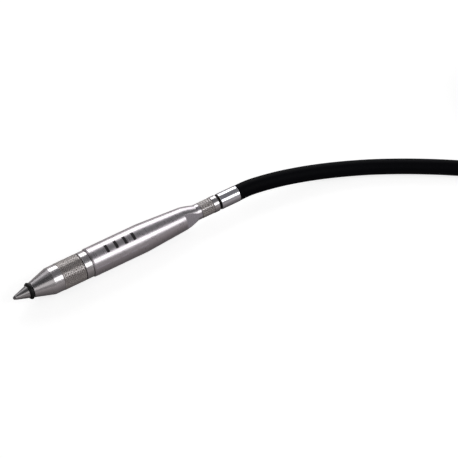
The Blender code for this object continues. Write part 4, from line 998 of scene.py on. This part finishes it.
# Inlet: the far end of the hose, lying on the hank. It has the same crimped ferrule, and a
# turned brass fitting with hose barbs, a 14 mm hexagon and a quarter-inch pipe thread.
FAR_ORIGIN = Vector((343.22, -0.9, 38.4)) * MM
FAR_LINE = (FAR_ORIGIN, -1)
BARB_START = 0.35
BARB_PITCH = 2.6
BARB_LENGTH = 2.08
BARB_COUNT = 4
BARB_ROOT = 2.3
BARB_CREST = 2.75
BARB_BORE = 1.7
FITTING_START = 13.7
FITTING_RADIUS = 5.5
FITTING_END = 33.4
FITTING_CHAMFER = 0.3
INLET_BORE = 3.4
INLET_BORE_START = 24.4
THREAD_PITCH = 1.337
THREAD_STEPS = 8
THREAD_START = 22.6
THREAD_ROOT = 5.72
THREAD_CREST = 6.55
THREAD_FIND_RADIUS = 6.0
TOOTH_SLOPE = 1.25
RUN_IN_SLOPE = 0.9
HEX_START = 13.4
HEX_LENGTH = 8.0
HEX_CORNER = 7.0 / math.cos(math.pi / 6)
HEX_CHAMFER = 0.7
HEX_FACE_RADIUS = 6.9
HEX_TRIM_RADIUS = 8.15

inlet_ferrule = crimped_ferrule("inlet_hose_ferrule", 0, "inlet_ferrule", FAR_LINE)

# Turned brass: a warm yellow with clear reflections
brass = turned_metal("turned_brass", "#b08a45", "#c9a45a", (0.2, 0.3), 0.14, 0.0015)
barbs = []
for number in range(BARB_COUNT):
    barb = BARB_START + BARB_PITCH * number
    barbs += [(barb, BARB_ROOT), (barb + BARB_LENGTH, BARB_CREST),
              (barb + BARB_LENGTH, BARB_ROOT)]
thread_rings = round((FITTING_END - THREAD_START) / THREAD_PITCH * THREAD_STEPS)
thread = [(THREAD_START + (FITTING_END - THREAD_START) * i / thread_rings, THREAD_CREST)
          for i in range(thread_rings + 1)]
fitting = turn("inlet_fitting_body", [
    (BARB_START, BARB_BORE), *barbs, (FITTING_START, BARB_ROOT), (FITTING_START, FITTING_RADIUS),
    (THREAD_START, FITTING_RADIUS), *thread, (FITTING_END, INLET_BORE + FITTING_CHAMFER),
    (FITTING_END - FITTING_CHAMFER, INLET_BORE), (INLET_BORE_START, INLET_BORE),
    (INLET_BORE_START, BARB_BORE), (BARB_START, BARB_BORE)],
    SMALL_SIDES, closed=True, line=FAR_LINE)

# The thread's tube follows a helix: its height is a triangle wave with flat crests and roots,
# and it falls off at the free end, where a nut has to find it
for vertex in fitting.data.vertices:
    place = vertex.co - FAR_ORIGIN
    radius = math.hypot(place.y, place.z)
    if radius > THREAD_FIND_RADIUS * MM:
        station = -place.x / MM
        phase = (station / THREAD_PITCH - math.atan2(place.y, place.z) / FULL_TURN) % 1
        wave = 1 - abs(2 * phase - 1)
        tooth = min(max(TOOTH_SLOPE * (wave - 0.5) + 0.5, 0), 1)
        crest = min(THREAD_CREST, THREAD_ROOT + (FITTING_END - station) * RUN_IN_SLOPE)
        target = THREAD_ROOT + (crest - THREAD_ROOT) * tooth
        vertex.co.y = FAR_ORIGIN.y + place.y * target * MM / radius
        vertex.co.z = FAR_ORIGIN.z + place.z * target * MM / radius
bpy.ops.mesh.primitive_cylinder_add(
    vertices=6, radius=HEX_CORNER * MM, depth=HEX_LENGTH * MM,
    location=on_axis(HEX_START + HEX_LENGTH / 2, FAR_LINE), rotation=(0, FULL_TURN / 4, 0))
hexagon = bpy.context.active_object
bpy.ops.object.transform_apply(location=True, rotation=True, scale=True)
hex_end = HEX_START + HEX_LENGTH
hex_trim = turn("inlet_hexagon_trim", [
    (HEX_START, POLE_RADIUS), (HEX_START, HEX_FACE_RADIUS),
    (HEX_START + HEX_CHAMFER, HEX_TRIM_RADIUS), (hex_end - HEX_CHAMFER, HEX_TRIM_RADIUS),
    (hex_end, HEX_FACE_RADIUS), (hex_end, POLE_RADIUS)], SMALL_SIDES, line=FAR_LINE)
combine(hexagon, hex_trim, "INTERSECT")
combine(fitting, hexagon, "UNION")
break_edges(fitting, 0)
fitting.data.materials.append(brass)
fit(fitting, "pen", "inlet_fitting")

# Strap: woven hook-and-loop tape, 11 mm wide, pulled tight round the hank's near side and
# pressed down on itself
STRAP_PLACE = Vector((315.025, -65.3, 0)) * MM
STRAP_HALF_WIDTH = 5.5
STRAP_THICKNESS = 0.5
STRAP_LOW = 6.95
STRAP_HIGH = 38.45
STRAP_REACH = 6.05
STRAP_OVERLAP_REACH = 6.6
STRAP_OVERLAP = 0.36
STRAP_STEP_SHARE = 0.1
STRAP_STEPS = 120
STRAP_EDGE = 0.1
strap_straight = STRAP_HIGH - STRAP_LOW
strap_loop = 2 * (strap_straight + math.pi * STRAP_REACH)


def strap_point(share):
    """Point of the strap's path: up the near side, over the top, down, and under."""
    reach = STRAP_REACH + (STRAP_OVERLAP_REACH - STRAP_REACH) * eased(
        (share - 1 + STRAP_STEP_SHARE) / STRAP_STEP_SHARE)
    half = math.floor(share * 2)
    along = (share - half / 2) * strap_loop
    bend = max(along - strap_straight, 0) / STRAP_REACH
    across = -reach * math.cos(bend)
    up = min(along, strap_straight) + reach * math.sin(bend) - strap_straight / 2
    if half % 2:
        across, up = -across, -up
    return across * MM, (up + (STRAP_LOW + STRAP_HIGH) / 2) * MM


strap_curve = bpy.data.curves.new("strap", "CURVE")
strap_curve.dimensions = "2D"
strap_curve.fill_mode = "NONE"
strap_curve.extrude = STRAP_HALF_WIDTH * MM
strap_path = strap_curve.splines.new("POLY")
strap_path.points.add(STRAP_STEPS)
for number, knot in enumerate(strap_path.points):
    knot.co = (*strap_point((1 + STRAP_OVERLAP) * number / STRAP_STEPS), 0, 1)
strap = bpy.data.objects.new("hank_strap", strap_curve)
bpy.context.collection.objects.link(strap)
strap.location = STRAP_PLACE
strap.rotation_euler = (FULL_TURN / 4, 0, FULL_TURN / 4)
only(strap)
bpy.ops.object.convert(target="MESH")
bpy.ops.object.transform_apply(location=True, rotation=True, scale=True)
bpy.ops.object.mode_set(mode="EDIT")
bpy.ops.mesh.select_all(action="SELECT")
bpy.ops.mesh.remove_doubles(threshold=MERGE_DISTANCE)
bpy.ops.mesh.normals_make_consistent(inside=False)
bpy.ops.object.mode_set(mode="OBJECT")
apply_modifier(strap, "SOLIDIFY", thickness=STRAP_THICKNESS * MM, offset=0)
break_edges(strap, STRAP_EDGE)

# Woven nylon tape: ribs along the strap, with a fuzzy dull nap of small loops. A wave texture
# of scale 1 repeats every 0.314 m.
WEAVE_PITCH = 0.6 * MM
WAVE_REPEAT = 0.314
nylon, nylon_output, nylon_place = new_finish("woven_black_nylon_tape")
nylon_ribs = add_node(nylon, "ShaderNodeTexWave", {
    "bands_direction": "X", "Scale": WAVE_REPEAT / WEAVE_PITCH, "Distortion": 1.2, "Detail": 2.0,
    "Detail Scale": 2.0}, {"Vector": nylon_place})
nylon_nap = add_node(nylon, "ShaderNodeTexNoise", {"Scale": 2.6 / MM, "Detail": 3.0},
                     {"Vector": nylon_place})
nylon_height = add_node(nylon, "ShaderNodeMath", {"operation": "ADD"}, {
    0: nylon_ribs.outputs["Fac"], 1: nylon_nap.outputs["Fac"]})
nylon_tone = add_node(nylon, "ShaderNodeMix", {
    "data_type": "RGBA", 6: linear_colour("#0e0e10"), 7: linear_colour("#242427")},
    {0: nylon_nap.outputs["Fac"]})
nylon_bump = add_node(nylon, "ShaderNodeBump", {"Strength": 0.6, "Distance": 0.1 * MM},
                      {"Height": nylon_height.outputs[0]})
nylon_shader = add_node(nylon, "ShaderNodeBsdfPrincipled", {
    "Roughness": 0.85, "Specular IOR Level": 0.2, "Sheen Weight": 0.15,
    "Sheen Roughness": 0.5}, {"Base Color": nylon_tone.outputs[2],
                              "Normal": nylon_bump.outputs["Normal"]})
close_finish(nylon, nylon_output, nylon_shader.outputs[0])
strap.data.materials.append(nylon)
fit(strap, "pen", "coil_tie")

# Inside pieces, which keep their solids: sintered bronze with its open pores, hardened
# ground steel, turned brass, moulded rubber and the hose's crimped ends
bronze_pores = ("ShaderNodeTexVoronoi", {"Scale": 4 / MM}, "Distance")
bronze = dull_finish("sintered_bronze", ("#7d5a34", "#b98a56"), (0.35, 0.6), bronze_pores,
                     {"Metallic": 1.0}, bronze_pores, (0.5, 0.05))
for material, nodes in (
        (bronze, ("nose_bushing", "filter_disc")),
        (ground_steel, ("hammer_piston", "throttle_stem", "throttle_stop_pin")),
        (brass, ("cylinder_head", "hose_nipple")),
        (hose_black, ("hose_end", "inlet_hose_end")),
        (rubber, ("cap_seal_ring", "barrel_seal_ring", "head_gasket", "stem_joint_seal",
                  "throttle_seal_front", "throttle_seal_rear"))):
    for node in nodes:
        bpy.data.objects[node].material_slots[0].material = material
